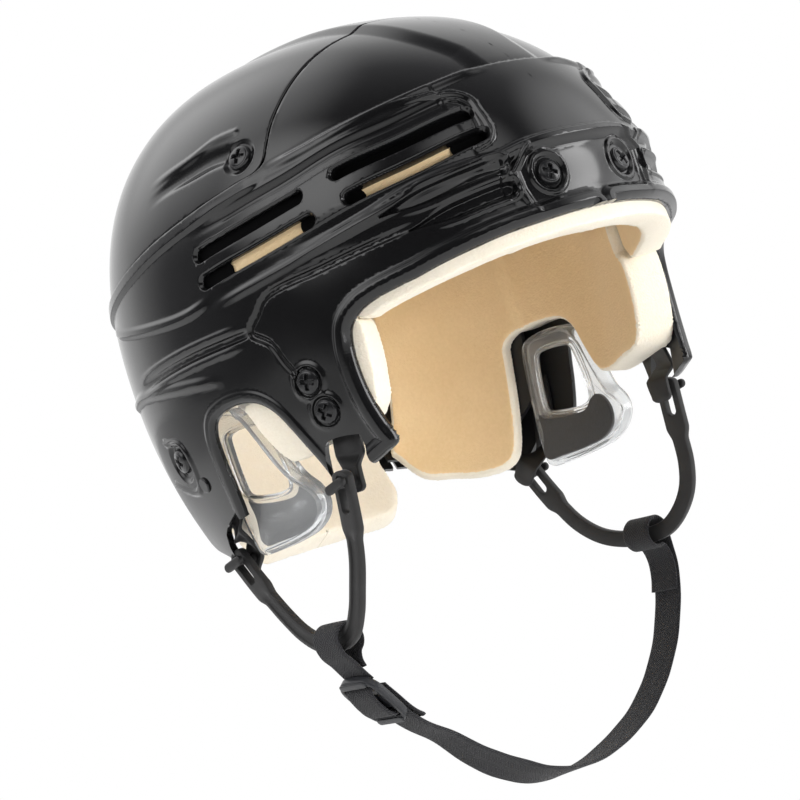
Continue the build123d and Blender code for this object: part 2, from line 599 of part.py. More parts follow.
# rivets that hold the rear tabs
def rivet(p, n):
    with BuildPart() as rivet_part:
        with BuildSketch(Plane(origin=tuple(p + n * 0.05), z_dir=tuple(n))):
            Circle(3.2)
        extrude(amount=0.9)
        fillet(rivet_part.faces().sort_by(Axis(origin=tuple(p), direction=tuple(n)))[-1].edges(), 0.6)
        with BuildSketch(Plane(origin=tuple(p + n * 0.1), z_dir=tuple(n))):
            Circle(1.7)
        extrude(amount=-6.6)
        with BuildSketch(Plane(origin=tuple(p - n * 6.0), z_dir=tuple(n))):
            Circle(3.0)
        extrude(amount=-0.9)
    return rivet_part.part


tab_rivets = pair("tab_rivets", [rivet(P_RV, N_RV)])

# ---------------------------------------------------------------- chin loops
def loop_part(centre_line, side_up):
    """U loop in the plane of its two studs. centre_line is (y, z) from the front stud to the rear stud."""
    s = [((y - STUD_FRONT[1]) / U_DIR[1], z) for y, z in centre_line]
    pl = Plane(origin=tuple(STUD_FRONT - W_DIR * LOOP_T / 2), x_dir=tuple(U_DIR), z_dir=tuple(W_DIR))
    spline = Edge.make_spline([Vector(a, b, 0) for a, b in s])
    length = spline.length
    left, right = [], []
    m = 34
    for i in range(m + 1):
        t = i / m
        q = spline.position_at(t)
        d = spline.tangent_at(t)
        from_end = min(t, 1 - t) * length
        if from_end < 19.0:
            half = PADDLE_W / 2
        elif from_end < 27.0:
            k = (from_end - 19.0) / 8.0
            k = k * k * (3 - 2 * k)
            half = PADDLE_W / 2 * (1 - k) + LOOP_W / 2 * k
        else:
            half = LOOP_W / 2
        left.append((q.X - d.Y * half, q.Y + d.X * half))
        right.append((q.X + d.Y * half, q.Y - d.X * half))
    d0 = spline.tangent_at(0)
    d1 = spline.tangent_at(1)
    p0 = spline.position_at(0)
    p1 = spline.position_at(1)
    end0 = (p0.X - d0.X * 3.0, p0.Y - d0.Y * 3.0)
    end1 = (p1.X + d1.X * 3.0, p1.Y + d1.Y * 3.0)
    with BuildPart() as loop:
        with BuildSketch(pl):
            with BuildLine():
                Spline(*left)
                ThreePointArc(left[-1], end1, right[-1])
                Spline(*reversed(right))
                ThreePointArc(right[0], end0, left[0])
            make_face()
            # slots for the T studs, the stud sits in the upper end
            for t in (6.2, length - 6.2):
                q = spline.position_at(t / length)
                d = spline.tangent_at(t / length)
                with Locations(Location((q.X, q.Y, 0), (0, 0, math.degrees(math.atan2(d.Y, d.X))))):
                    SlotOverall(14.4, 4.6, mode=Mode.SUBTRACT)
        extrude(amount=LOOP_T)
    return loop.part, spline, length


LINE_LEFT = [(-41.0, 2.2), (-40.6, -8.0), (-40.2, -20.0), (-39.6, -32.0), (-36.4, -42.5), (-29.6, -51.2), (-20.8, -57.0),
             (-9.0, -58.6), (3.0, -57.8), (14.6, -54.0), (24.6, -46.6), (32.0, -37.0), (37.4, -28.4), (43.2, -17.8)]
LINE_RIGHT = [(-41.2, 2.2), (-40.0, -8.0), (-38.4, -18.6), (-35.6, -29.0), (-31.0, -39.0), (-26.2, -48.0), (-19.4, -55.6),
              (-9.0, -58.6), (3.0, -57.4), (12.6, -52.4), (20.8, -45.0), (28.4, -36.6), (35.4, -28.4), (43.3, -18.0)]
loop_left_part, loop_left_line, loop_left_len = loop_part(LINE_LEFT, 1)
loop_right_part, loop_right_line, loop_right_len = loop_part(LINE_RIGHT, 1)
with BuildPart() as chin_loop_left:
    add(loop_left_part)
chin_loop_left.part.label = "chin_loop_left"
with BuildPart() as chin_loop_right:
    add(mirrored(loop_right_part))
chin_loop_right.part.label = "chin_loop_right"

# ---------------------------------------------------------------- chin strap, anchor webbing and buckle
WRAP_X = float(STUD_FRONT[0] + U_DIR[0] * (WRAP_Y - STUD_FRONT[1]) / U_DIR[1])
XZ = Plane(origin=(0, WRAP_Y + WEB_W / 2, 0), x_dir=(1, 0, 0), z_dir=(0, -1, 0))


def ribbon(line, t=WEB_T):
    """Outline of a webbing run of even thickness round its centre line."""
    e = Edge.make_spline([Vector(a, b, 0) for a, b in line])
    m = max(6, int(e.length / 9))
    left, right = [], []
    for i in range(m + 1):
        q = e.position_at(i / m)
        d = e.tangent_at(i / m)
        left.append((q.X - d.Y * t / 2, q.Y + d.X * t / 2))
        right.append((q.X + d.Y * t / 2, q.Y - d.X * t / 2))
    return left, right, e.length


RW = WRAP_R + WEB_T / 2
# buckle centre line: from near the right wrap, down and inward
BK_A = np.array([-88.4, -72.5])
BK_B = np.array([-73.6, -91.0])
BK_D = (BK_B - BK_A) / np.linalg.norm(BK_B - BK_A)
BK_N = np.array([BK_D[1], -BK_D[0]])          # towards the outside and below
STRAP = [tuple(BK_A + BK_D * 9.0), tuple(BK_A + BK_D * 13.0), tuple(BK_A + BK_D * 17.0), tuple(BK_A + BK_D * 21.0),
         tuple(BK_A + BK_D * 25.5), (-65.2, -98.8), (-54.8, -105.6), (-46.5, -112.6),
         (-37.6, -119.8), (-21.1, -130.2), (-5.7, -136.6), (11.7, -139.2), (31.9, -137.0), (53.6, -130.0), (72.1, -118.1),
         (85.4, -103.0), (93.8, -88.0), (WRAP_X + RW - 0.5, -75.3),
         (WRAP_X + RW, -66.5), (WRAP_X + RW, WRAP_Z)]
with BuildPart() as chin_strap:
    with BuildSketch(XZ):
        l, r, strap_len = ribbon(STRAP)
        with BuildLine():
            Spline(*l)
            Line(l[-1], r[-1])
            Spline(*reversed(r))
            Line(r[0], l[0])
        make_face()
        with Locations((WRAP_X, WRAP_Z)):
            Circle(WRAP_R + WEB_T)
        with Locations((WRAP_X, WRAP_Z)):
            Circle(WRAP_R, mode=Mode.SUBTRACT)
    extrude(amount=WEB_W)
chin_strap.part.label = "chin_strap"
print("strap centre line length", round(strap_len, 1), "solids", len(chin_strap.part.solids()))

ANCHOR = [(-WRAP_X + 0.6, WRAP_Z - WRAP_R - WEB_T * 0.6), (-90.6, -67.5), tuple(BK_A + BK_D * 3.2)]
with BuildPart() as strap_anchor:
    with BuildSketch(XZ):
        l, r, _ = ribbon(ANCHOR)
        with BuildLine():
            Spline(*l)
            Line(l[-1], r[-1])
            Spline(*reversed(r))
            Line(r[0], l[0])
        make_face()
        with Locations((-WRAP_X, WRAP_Z)):
            Circle(WRAP_R + WEB_T)
        with Locations((-WRAP_X, WRAP_Z)):
            Circle(WRAP_R, mode=Mode.SUBTRACT)
    extrude(amount=WEB_W)
strap_anchor.part.label = "strap_anchor"

# ladder-lock buckle: frame with three bars, open between them
BK_LEN = 25.0
BK_W = 21.0
BK_T = 3.4
bk_mid = (BK_A + BK_B) / 2 + BK_D * 0.5
bk_out = BK_N
bk_plane = Plane(origin=(float(bk_mid[0]), WRAP_Y, float(bk_mid[1])),
                 x_dir=(float(BK_D[0]), 0, float(BK_D[1])), z_dir=(float(bk_out[0]), 0, float(bk_out[1])))
with BuildPart() as strap_buckle:
    with BuildSketch(bk_plane.offset(WEB_T / 2 + 0.25)):
        RectangleRounded(BK_LEN, BK_W, 3.0)
        with Locations((-BK_LEN / 2 + 6.2, 0), (BK_LEN / 2 - 8.6, 0)):
            RectangleRounded(4.8, BK_W - 5.0, 1.2, mode=Mode.SUBTRACT)
    extrude(amount=BK_T)
    # lifted tail bar
    with BuildSketch(bk_plane.offset(WEB_T / 2 + 0.25 + BK_T - 0.3)):
        with Locations((BK_LEN / 2 - 3.0, 0)):
            RectangleRounded(5.4, BK_W - 1.5, 2.0)
    extrude(amount=1.7)
strap_buckle.part.label = "strap_buckle"

# free end of the chin strap, folded back below the buckle
tail_a = bk_mid + BK_N * (WEB_T / 2 + 0.25 + BK_T + 1.9)
with BuildPart() as strap_tail:
    with BuildSketch(Plane(origin=(float(tail_a[0]), WRAP_Y, float(tail_a[1])),
                           x_dir=(float(BK_D[0]), 0, float(BK_D[1])), z_dir=(float(BK_N[0]), 0, float(BK_N[1])))):
        with Locations((8.5, 0)):
            RectangleRounded(22.0, WEB_W, 1.0)
    extrude(amount=WEB_T)
strap_tail.part.label = "strap_tail"

# ---------------------------------------------------------------- write the pieces
single = [front_shell, rear_shell, liner_forehead, liner_side_left, liner_side_right, liner_crown_front,
          liner_crown_rear, liner_occipital, ear_guard_left, ear_guard_right, ear_felt_left, ear_felt_right,
          strap_tab_front_left, strap_tab_front_right, strap_tab_rear_left, strap_tab_rear_right,
          chin_loop_left, chin_loop_right, chin_strap, strap_anchor, strap_buckle, strap_tail]
for piece in single:
    box = piece.part.bounding_box()
    print(piece.part.label, "solids", len(piece.part.solids()), "valid", piece.part.is_valid,
          "volume", round(piece.part.volume), "z", round(box.min.Z, 1), round(box.max.Z, 1),
          "y", round(box.min.Y, 1), round(box.max.Y, 1))
    export_step(piece.part, "parts/" + piece.part.label + ".step")
for group in [front_screws, front_screw_nuts, temple_screws, temple_nuts, lower_adjust_screws, lower_adjust_nuts,
              upper_adjust_screws, upper_adjust_nuts, tab_rivets]:
    print(group.label, "solids", len(group.solids()), "volume", round(group.volume))
    export_step(group, "parts/" + group.label + ".step")
print("wrap x", round(WRAP_X, 3), "hinge dir", HINGE.round(5), "front screw", P_FRONT.round(3), N_FRONT.round(4))
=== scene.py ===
import bpy
import bmesh
import math
import numpy as np
from mathutils import Vector, Matrix


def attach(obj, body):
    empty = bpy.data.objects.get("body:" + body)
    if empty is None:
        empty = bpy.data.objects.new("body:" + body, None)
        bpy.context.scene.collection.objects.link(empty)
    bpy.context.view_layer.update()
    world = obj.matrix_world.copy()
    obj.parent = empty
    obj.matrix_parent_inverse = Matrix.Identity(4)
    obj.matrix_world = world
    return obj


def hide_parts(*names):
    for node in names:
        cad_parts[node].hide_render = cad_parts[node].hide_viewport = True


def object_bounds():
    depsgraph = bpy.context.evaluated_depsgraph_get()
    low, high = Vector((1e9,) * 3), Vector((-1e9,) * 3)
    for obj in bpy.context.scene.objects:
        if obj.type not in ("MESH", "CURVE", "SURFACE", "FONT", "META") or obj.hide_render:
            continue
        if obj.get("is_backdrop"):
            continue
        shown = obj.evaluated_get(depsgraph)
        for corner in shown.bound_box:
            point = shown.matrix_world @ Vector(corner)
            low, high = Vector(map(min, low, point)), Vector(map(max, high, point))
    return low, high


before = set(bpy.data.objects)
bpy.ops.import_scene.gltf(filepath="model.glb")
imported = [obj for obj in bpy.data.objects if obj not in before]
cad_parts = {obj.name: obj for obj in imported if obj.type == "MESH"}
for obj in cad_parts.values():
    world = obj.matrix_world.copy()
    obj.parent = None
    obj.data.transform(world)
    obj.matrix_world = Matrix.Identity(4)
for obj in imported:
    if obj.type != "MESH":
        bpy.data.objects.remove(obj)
CAD_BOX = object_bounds()
MM = 0.001

# ------------------------------------------------------------------ shell surface, as in the CAD, in millimetres
CENTRE = np.array([0.0, 4.0, 62.0])


def outside(p):
    x, y, z = p[..., 0], p[..., 1], p[..., 2]
    y = y - 6.5 - 0.095 * (z - 60.0)
    s = 1 / (1 + np.exp(-np.clip(y / 22.0, -30, 30)))
    a = 129.8 * (1 - s) + 120.8 * s
    pw = 2.19 * (1 - s) + 2.02 * s
    q = 2.45 * (1 - s) + 2.43 * s
    xe = x / (1 + 0.043 * y / 130.0)
    g = (np.abs(xe / 106.2) ** pw + np.abs(y / a) ** pw) ** (1 / pw)
    up = z > 54.4
    h = np.where(up, (z - 54.4) / 124.0, 0.0)
    low = np.where(up, 0.0, (54.4 - z) / 86.4)
    return np.where(up, (g ** q + np.abs(h) ** q) ** (1 / q) - 1, g / (1 - 0.164 * low ** 2) - 1)


def along(d):
    lo = np.zeros(d.shape[:-1])
    hi = np.full(d.shape[:-1], 260.0)
    for _ in range(34):
        m = (lo + hi) / 2
        f = outside(CENTRE + d * m[..., None])
        hi = np.where(f > 0, m, hi)
        lo = np.where(f > 0, lo, m)
    return CENTRE + d * ((lo + hi) / 2)[..., None]


def onto(p):
    d = p - CENTRE
    return along(d / np.linalg.norm(d, axis=-1, keepdims=True))


def normals(p):
    e = 0.02
    g = []
    for i in range(3):
        a = np.array(p, dtype=float)
        b = np.array(p, dtype=float)
        a[..., i] += e
        b[..., i] -= e
        g.append(outside(a) - outside(b))
    g = np.stack(g, -1)
    return g / np.linalg.norm(g, axis=-1, keepdims=True)


def side_x(y, z):
    """Half width of the surface at y, z; arrays."""
    y = np.asarray(y, float)
    z = np.asarray(z, float)
    lo = np.zeros_like(y)
    hi = np.full_like(y, 130.0)
    for _ in range(34):
        m = (lo + hi) / 2
        f = outside(np.stack([m, y, z], -1))
        hi = np.where(f > 0, m, hi)
        lo = np.where(f > 0, lo, m)
    return (lo + hi) / 2


def side_point(y, z):
    p = np.array([float(side_x(np.array([y]), np.array([z]))[0]), y, z])
    return p, normals(p)


# ------------------------------------------------------------------ curves
def smooth(points, step=1.0, closed=False):
    """Catmull-Rom curve through the points, sampled about every step."""
    p = np.array(points, dtype=float)
    n = len(p)
    out = []
    m = n if closed else n - 1
    for i in range(m):
        if closed:
            a, b, c, d = p[i - 1], p[i], p[(i + 1) % n], p[(i + 2) % n]
        else:
            a = p[i - 1] if i > 0 else 2 * p[i] - p[i + 1]
            b, c = p[i], p[i + 1]
            d = p[i + 2] if i + 2 < n else 2 * c - b
        k = max(1, int(np.linalg.norm(c - b) / step))
        l1, l2, l3 = [max(1e-6, np.linalg.norm(v) ** 0.5) for v in (b - a, c - b, d - c)]
        t1 = (b - a) / l1 - (c - a) / (l1 + l2) + (c - b) / l2
        t2 = (c - b) / l2 - (d - b) / (l2 + l3) + (d - c) / l3
        t1, t2 = t1 * l2, t2 * l2
        for j in range(k):
            t = j / k
            out.append((2 * t ** 3 - 3 * t ** 2 + 1) * b + (t ** 3 - 2 * t ** 2 + t) * t1
                       + (-2 * t ** 3 + 3 * t ** 2) * c + (t ** 3 - t ** 2) * t2)
    if not closed:
        out.append(p[-1])
    return np.array(out)


def to_curve(p, poly):
    """Distance from each point to a polyline, and the arc length at the nearest place."""
    poly = np.asarray(poly, float)
    a, b = poly[:-1], poly[1:]
    ab = b - a
    l2 = np.maximum((ab ** 2).sum(1), 1e-12)
    cum = np.concatenate([[0], np.cumsum(np.sqrt(l2))[:-1]])
    dist = np.full(len(p), 1e3)
    arc = np.zeros(len(p))
    for s in range(0, len(p), 6000):
        q = p[s:s + 6000]
        t = np.clip(((q[:, None] - a[None]) * ab[None]).sum(-1) / l2, 0, 1)
        d = np.linalg.norm(q[:, None] - a[None] - t[..., None] * ab[None], axis=-1)
        i = d.argmin(1)
        r = np.arange(len(q))
        dist[s:s + 6000] = d[r, i]
        arc[s:s + 6000] = cum[i] + t[r, i] * np.sqrt(l2[i])
    return dist, arc


def near_curve(p, poly, reach):
    """to_curve for the points within reach of the curve's box; the others get a large distance."""
    poly = np.asarray(poly, float)
    m = np.all((p > poly.min(0) - reach) & (p < poly.max(0) + reach), axis=1)
    dist = np.full(len(p), 1e3)
    arc = np.zeros(len(p))
    if m.any():
        dist[m], arc[m] = to_curve(p[m], poly)
    return dist, arc


def inside2d(p, poly):
    """Even-odd test in the side view."""
    x, y = p[:, 0], p[:, 1]
    res = np.zeros(len(p), bool)
    n = len(poly)
    for i in range(n):
        x0, y0 = poly[i]
        x1, y1 = poly[(i + 1) % n]
        if y0 == y1:
            continue
        m = ((y0 > y) != (y1 > y)) & (x < (x1 - x0) * (y - y0) / (y1 - y0) + x0)
        res ^= m
    return res


def sd2d(p, poly):
    """Signed distance in the side view (y, z), negative inside."""
    q = p[:, 1:3]
    closed = np.vstack([poly, poly[:1]])
    q3 = np.column_stack([q, np.zeros(len(q))])
    c3 = np.column_stack([closed, np.zeros(len(closed))])
    d = np.full(len(q), 1e3)
    for s in range(0, len(closed) - 1, 60):
        dd, _ = to_curve(q3, c3[s:s + 61])
        d = np.minimum(d, dd)
    return np.where(inside2d(q, poly), -d, d)


def surf_curve(points, step=1.0):
    """Smooth curve on the surface through 3-D points, x taken positive."""
    p = np.array(points, dtype=float)
    p[:, 0] = np.abs(p[:, 0])
    return onto(smooth(p, step))


def lift(outline, step=1.0):
    """Side-view curve lifted to the surface."""
    c = smooth(outline, step)
    x = side_x(c[:, 0], c[:, 1])
    p = np.column_stack([x, c])
    return p[x > 0.3]


def sstep(a, b, v):
    t = np.clip((v - a) / (b - a), 0, 1)
    return t * t * (3 - 2 * t)


def bump(v, half, edge):
    """1 within half of v = 0, falling to 0 over edge."""
    return 1 - sstep(half, half + edge, np.abs(v))


# ------------------------------------------------------------------ triangle mesh tools
def edges_of(f):
    e = np.concatenate([f[:, [0, 1]], f[:, [1, 2]], f[:, [2, 0]]])
    e = np.sort(e, axis=1)
    key = e[:, 0].astype(np.int64) * 4000000 + e[:, 1]
    u, inv = np.unique(key, return_inverse=True)
    return np.stack([u // 4000000, u % 4000000], 1), inv.reshape(3, -1).T


def split(v, f, edges, fe, mark, new):
    idx = np.full(len(edges), -1)
    idx[mark] = len(v) + np.arange(int(mark.sum()))
    v2 = np.vstack([v, new])
    m = idx[fe]
    code = (m[:, 0] >= 0) * 1 + (m[:, 1] >= 0) * 2 + (m[:, 2] >= 0) * 4
    out = [f[code == 0]]

    def take(c):
        k = code == c
        return f[k].T, m[k].T
    for c, rot in ((1, 0), (2, 1), (4, 2)):
        (p, q) = take(c)
        a, b, d = p[rot], p[(rot + 1) % 3], p[(rot + 2) % 3]
        n = q[rot]
        out += [np.stack([a, n, d], 1), np.stack([n, b, d], 1)]
    for c, rot in ((3, 0), (6, 1), (5, 2)):
        (p, q) = take(c)
        a, b, d = p[rot], p[(rot + 1) % 3], p[(rot + 2) % 3]
        n1, n2 = q[rot], q[(rot + 1) % 3]
        out.append(np.stack([n1, b, n2], 1))
        l1 = np.linalg.norm(v2[a] - v2[n2], axis=1)
        l2 = np.linalg.norm(v2[n1] - v2[d], axis=1)
        s = l1 < l2
        out += [np.stack([a, n1, n2], 1)[s], np.stack([a, n2, d], 1)[s],
                np.stack([a, n1, d], 1)[~s], np.stack([n1, n2, d], 1)[~s]]
    (p, q) = take(7)
    a, b, c = p
    ab, bc, ca = q
    out += [np.stack([a, ab, ca], 1), np.stack([b, bc, ab], 1), np.stack([c, ca, bc], 1), np.stack([ab, bc, ca], 1)]
    return v2, np.concatenate(out)


def tidy(v, f):
    used = np.unique(f)
    m = np.full(len(v), -1)
    m[used] = np.arange(len(used))
    return v[used], m[f], used


def embed(v, f, fn, snap=0.25):
    """Put the zero line of fn on mesh edges."""
    val = fn(v)
    v = v.copy()
    edges, fe = edges_of(f)
    e0, e1 = edges.T
    s = val[e0] * val[e1] < 0
    t = np.where(s, val[e0] / np.where(s, val[e0] - val[e1], 1), 0.5)
    k = s & (t < snap)
    v[e0[k]] = v[e0[k]] + (v[e1[k]] - v[e0[k]]) * t[k][:, None]
    val[e0[k]] = 0
    k2 = s & (t > 1 - snap) & (val[e0] != 0)
    v[e1[k2]] = v[e0[k2]] + (v[e1[k2]] - v[e0[k2]]) * t[k2][:, None]
    val[e1[k2]] = 0
    moved = np.unique(np.concatenate([e0[k], e1[k2]]))
    if len(moved):
        v[moved] = onto(v[moved])
    s = val[e0] * val[e1] < 0
    t = val[e0[s]] / (val[e0[s]] - val[e1[s]])
    new = v[e0[s]] + (v[e1[s]] - v[e0[s]]) * t[:, None]
    if len(new):
        new = onto(new)
    v, f = split(v, f, edges, fe, s, new)
    return v, f, np.concatenate([val, np.zeros(len(new))])


def cut(v, f, fn, snap=0.25):
    """Keep the part where fn is negative."""
    v, f, val = embed(v, f, fn, snap)
    keep = val[f].sum(1) < 0
    v, f, _ = tidy(v, f[keep])
    return v, f


def refine(v, f, disp, longest, shortest, tol, rounds=4, limit=330000):
    for _ in range(rounds):
        edges, fe = edges_of(f)
        e0, e1 = edges.T
        length = np.linalg.norm(v[e0] - v[e1], axis=1)
        mid = (v[e0] + v[e1]) / 2
        mark = length > longest
        if disp is not None:
            d = disp(v)
            mark |= (length > shortest) & (np.abs(d[e0] - d[e1]) > tol)
            cand = (~mark) & (length > 0.9)
            dm = disp(mid[cand])
            bad = np.abs(dm - (d[e0[cand]] + d[e1[cand]]) / 2) > tol * 0.5
            i = np.where(cand)[0][bad]
            mark[i] = True
        if not mark.any() or len(f) > limit:
            break
        v, f = split(v, f, edges, fe, mark, onto(mid[mark]))
    return v, f


def ico(level):
    bm = bmesh.new()
    bmesh.ops.create_icosphere(bm, subdivisions=level, radius=1.0)
    v = np.array([p.co[:] for p in bm.verts])
    f = np.array([[q.index for q in t.verts] for t in bm.faces])
    bm.free()
    return v, f


def half_dome(level=7, z_low=-32.0):
    """Surface mesh for x >= 0, above z_low."""
    v, f = ico(level)
    v = along(v / np.linalg.norm(v, axis=1, keepdims=True))
    k = (v[f][:, :, 2].max(1) > z_low) & (v[f][:, :, 0].max(1) > -3)
    v, f, _ = tidy(v, f[k])
    v, f = cut(v, f, lambda p: -p[:, 0])
    v[np.abs(v[:, 0]) < 1e-6, 0] = 0
    return v, f


def rim_edges(f):
    """Directed edges that have a face on one side only."""
    e = np.concatenate([f[:, [0, 1]], f[:, [1, 2]], f[:, [2, 0]]])
    key = np.sort(e, axis=1)
    key = key[:, 0].astype(np.int64) * 4000000 + key[:, 1]
    u, inv, cnt = np.unique(key, return_inverse=True, return_counts=True)
    return e[cnt[inv] == 1]


def sheet_solid(v, f, out_pos, in_pos, mid_rows=None, skip=None):
    """Close an outer and an inner surface with a wall along the rim.
    mid_rows: extra wall rows between them, as position arrays. skip(edge midpoints) leaves rim edges open."""
    rim = rim_edges(f)
    if skip is not None:
        rim = rim[~skip((v[rim[:, 0]] + v[rim[:, 1]]) / 2)]
    n = len(v)
    rv = np.unique(rim)
    pos = [out_pos, in_pos]
    faces = [f, f[:, ::-1] + n]
    kind = [np.zeros(len(f), int), np.ones(len(f), int)]
    rows = [np.arange(n)]
    start = 2 * n
    for row in (mid_rows or []):
        m = np.full(n, -1)
        m[rv] = start + np.arange(len(rv))
        pos.append(row[rv])
        start += len(rv)
        rows.append(m)
    rows.append(np.arange(n) + n)
    for a, b in zip(rows[:-1], rows[1:]):
        p, q = rim.T
        faces += [np.stack([a[q], a[p], b[p]], 1), np.stack([a[q], b[p], b[q]], 1)]
        kind += [np.full(2 * len(rim), 2)]
    return np.vstack(pos), np.concatenate(faces), np.concatenate(kind)


def mirror_join(v, f, kind, eps=1e-4, vn=None):
    """Add the mirror image across x = 0 and weld the middle."""
    n = len(v)
    if vn is not None:
        vn = vn.copy()
        vn[np.abs(v[:, 0]) < eps, 0] = 0
    on = np.abs(v[:, 0]) < eps
    v2 = v * np.array([-1, 1, 1])
    m = np.where(on, np.arange(n), np.arange(n) + n)
    f2 = m[f][:, ::-1]
    vv = np.vstack([v, v2])
    ff = np.vstack([f, f2])
    kk = np.concatenate([kind, kind])
    vv, ff, used = tidy(vv, ff)
    if vn is not None:
        return vv, ff, kk, np.vstack([vn, vn * np.array([-1, 1, 1])])[used]
    return vv, ff, kk


def relief_normals(v, n, fn, e=0.12):
    """Normals of the surface raised by fn along n, from fn's slope."""
    a = np.cross(n, np.array([0.0, 0.0, 1.0]))
    k = np.linalg.norm(a, axis=1) < 0.1
    a[k] = np.cross(n[k], np.array([0.0, 1.0, 0.0]))
    a /= np.linalg.norm(a, axis=1, keepdims=True)
    b = np.cross(n, a)
    ga = (fn(v + a * e) - fn(v - a * e)) / (2 * e)
    gb = (fn(v + b * e) - fn(v - b * e)) / (2 * e)
    m = n - a * ga[:, None] - b * gb[:, None]
    return m / np.linalg.norm(m, axis=1, keepdims=True)


def set_outer_normals(obj, vn, kind, mirrored_half=True):
    """Give the outer faces (kind 0) their exact normals, by place of the first n vertices and their mirror images."""
    me = obj.data
    ln = np.zeros((len(me.loops), 3), np.float32)
    vi = np.zeros(len(me.loops), np.int32)
    me.loops.foreach_get("vertex_index", vi)
    mi = np.zeros(len(me.polygons), np.int32)
    me.polygons.foreach_get("material_index", mi)
    lt = np.zeros(len(me.polygons), np.int32)
    me.polygons.foreach_get("loop_total", lt)
    per = np.repeat(mi, lt)
    k = (per == 0) & (np.linalg.norm(vn[vi], axis=1) > 0.5)
    ln[k] = vn[vi[k]]
    me.normals_split_custom_set(ln.tolist())


def flip_x(v, f):
    return v * np.array([-1, 1, 1]), f[:, ::-1]


# ------------------------------------------------------------------ objects
def make_object(name, v, f, mats, kind=None, sharp=38.0, quads=None):
    """Mesh object from arrays in millimetres."""
    mesh = bpy.data.meshes.new(name)
    v = np.asarray(v, float) * MM
    f = np.asarray(f)
    if f.ndim == 2 and f.shape[1] == 3:
        bad = (f[:, 0] == f[:, 1]) | (f[:, 1] == f[:, 2]) | (f[:, 0] == f[:, 2])
        f = f[~bad]
        if kind is not None:
            kind = np.asarray(kind)[~bad]
    k = f.shape[1]
    mesh.vertices.add(len(v))
    mesh.vertices.foreach_set("co", v.astype(np.float32).ravel())
    mesh.loops.add(f.size)
    mesh.loops.foreach_set("vertex_index", f.astype(np.int32).ravel())
    mesh.polygons.add(len(f))
    mesh.polygons.foreach_set("loop_start", np.arange(0, f.size, k, dtype=np.int32))
    mesh.polygons.foreach_set("loop_total", np.full(len(f), k, dtype=np.int32))
    if not isinstance(mats, (list, tuple)):
        mats = [mats]
    for m in mats:
        mesh.materials.append(m)
    mesh.polygons.foreach_set("use_smooth", np.ones(len(f), dtype=bool))
    if kind is not None:
        mesh.polygons.foreach_set("material_index", np.asarray(kind, dtype=np.int32))
    mesh.update(calc_edges=True)
    mesh.validate()
    if sharp:
        mesh.set_sharp_from_angle(angle=math.radians(sharp))
    obj = bpy.data.objects.new(name, mesh)
    bpy.context.scene.collection.objects.link(obj)
    return obj


def grid_faces(n, m, closed_u=False, closed_v=False):
    """Quad faces of a grid of n rows and m columns."""
    i = np.arange(n if closed_u else n - 1)
    j = np.arange(m if closed_v else m - 1)
    a, b = np.meshgrid(i, j, indexing="ij")
    a2, b2 = (a + 1) % n, (b + 1) % m
    return np.stack([a * m + b, a2 * m + b, a2 * m + b2, a * m + b2], -1).reshape(-1, 4)


# ------------------------------------------------------------------ outlines (side view y, z), as in the CAD
LIP = [(-121, 75.4), (-118, 74.4), (-111, 72.9), (-103, 70.6), (-95, 68.4), (-88, 66.2), (-80, 64.4),
       (-73, 62.6), (-67, 59.8), (-63, 55.6), (-61.6, 50.2), (-61.2, 41.4), (-62.0, 29.6), (-64.2, 18.2),
       (-65.8, 12.7), (-65.6, 9.4), (-60, 6.4), (-52, 3.2), (-44, 2.6)]
EAR = [(-34.9, 3.0), (-33.6, 8.0), (-29.4, 18.1), (-21.7, 32.3), (-16, 37.2), (-10, 39.3), (-2, 39.8),
       (5.4, 38.6), (11.3, 36.1), (14.6, 31), (15.6, 24), (16, 15), (17.4, 0.5), (22.2, -15.8)]
BOTTOM_REAR = [(30, -17.8), (40, -18.6), (47, -18.6), (53, -16.4), (64, -13.5), (80, -7.0), (100, -1.0), (140, 3.0)]
SEAM = [(-38.5, 178), (-37.5, 165), (-36.5, 150), (-35.8, 139), (-35.9, 131.8), (-35.6, 126),
        (-32.5, 122.6), (-22.3, 120.2), (-1.8, 116.0), (22.7, 110.6), (45.2, 104.8), (70, 98.6),
        (95, 92.6), (150, 79.5)]
NOTCH_FRONT = [(-54.0, 16.2), (-50, 17.0), (-43, 17.2), (-39.0, 16.0), (-36.0, 8.0), (-34.6, 2.0), (-34.0, -12), (-54.0, -12)]
NOTCH_REAR = [(21.6, 0.6), (34.0, -4.6), (38.6, -7.4), (42.6, -13.0), (44.0, -20.0), (45, -32), (8, -32), (8, -2.6), (21.0, -2.6)]
lip_s = smooth(LIP, 1.5)
ear_s = smooth(EAR, 1.5)
seam_s = smooth(SEAM, 2.0)
bottom_s = smooth(BOTTOM_REAR, 3.0)
CUT_POLY = np.vstack([[(-150, 75.4)], lip_s, ear_s, bottom_s, [(150, 3.0), (150, -70), (-150, -70)]])
FRONT_POLY = np.vstack([[(-38.5, 210)], seam_s, [(150, -60), (-160, -60), (-160, 210)]])
REAR_POLY = np.vstack([[(-37.9, 210)], seam_s + 0.6, [(160, 79.5), (160, 210)]])
COLUMN_POLY = np.array([(20, 114), (45.2, 106.7), (70, 100.5), (95, 94.5), (150, 81.5), (150, 5), (130, 2.5), (100, -1),
                        (80, -7), (60, -14), (20, -20)], float)

C_LIP = lift(LIP, 1.0)
C_EAR = lift(EAR, 1.0)
C_SEAM = lift(SEAM, 1.0)
C_BOTTOM = lift(BOTTOM_REAR[:-1], 1.0)

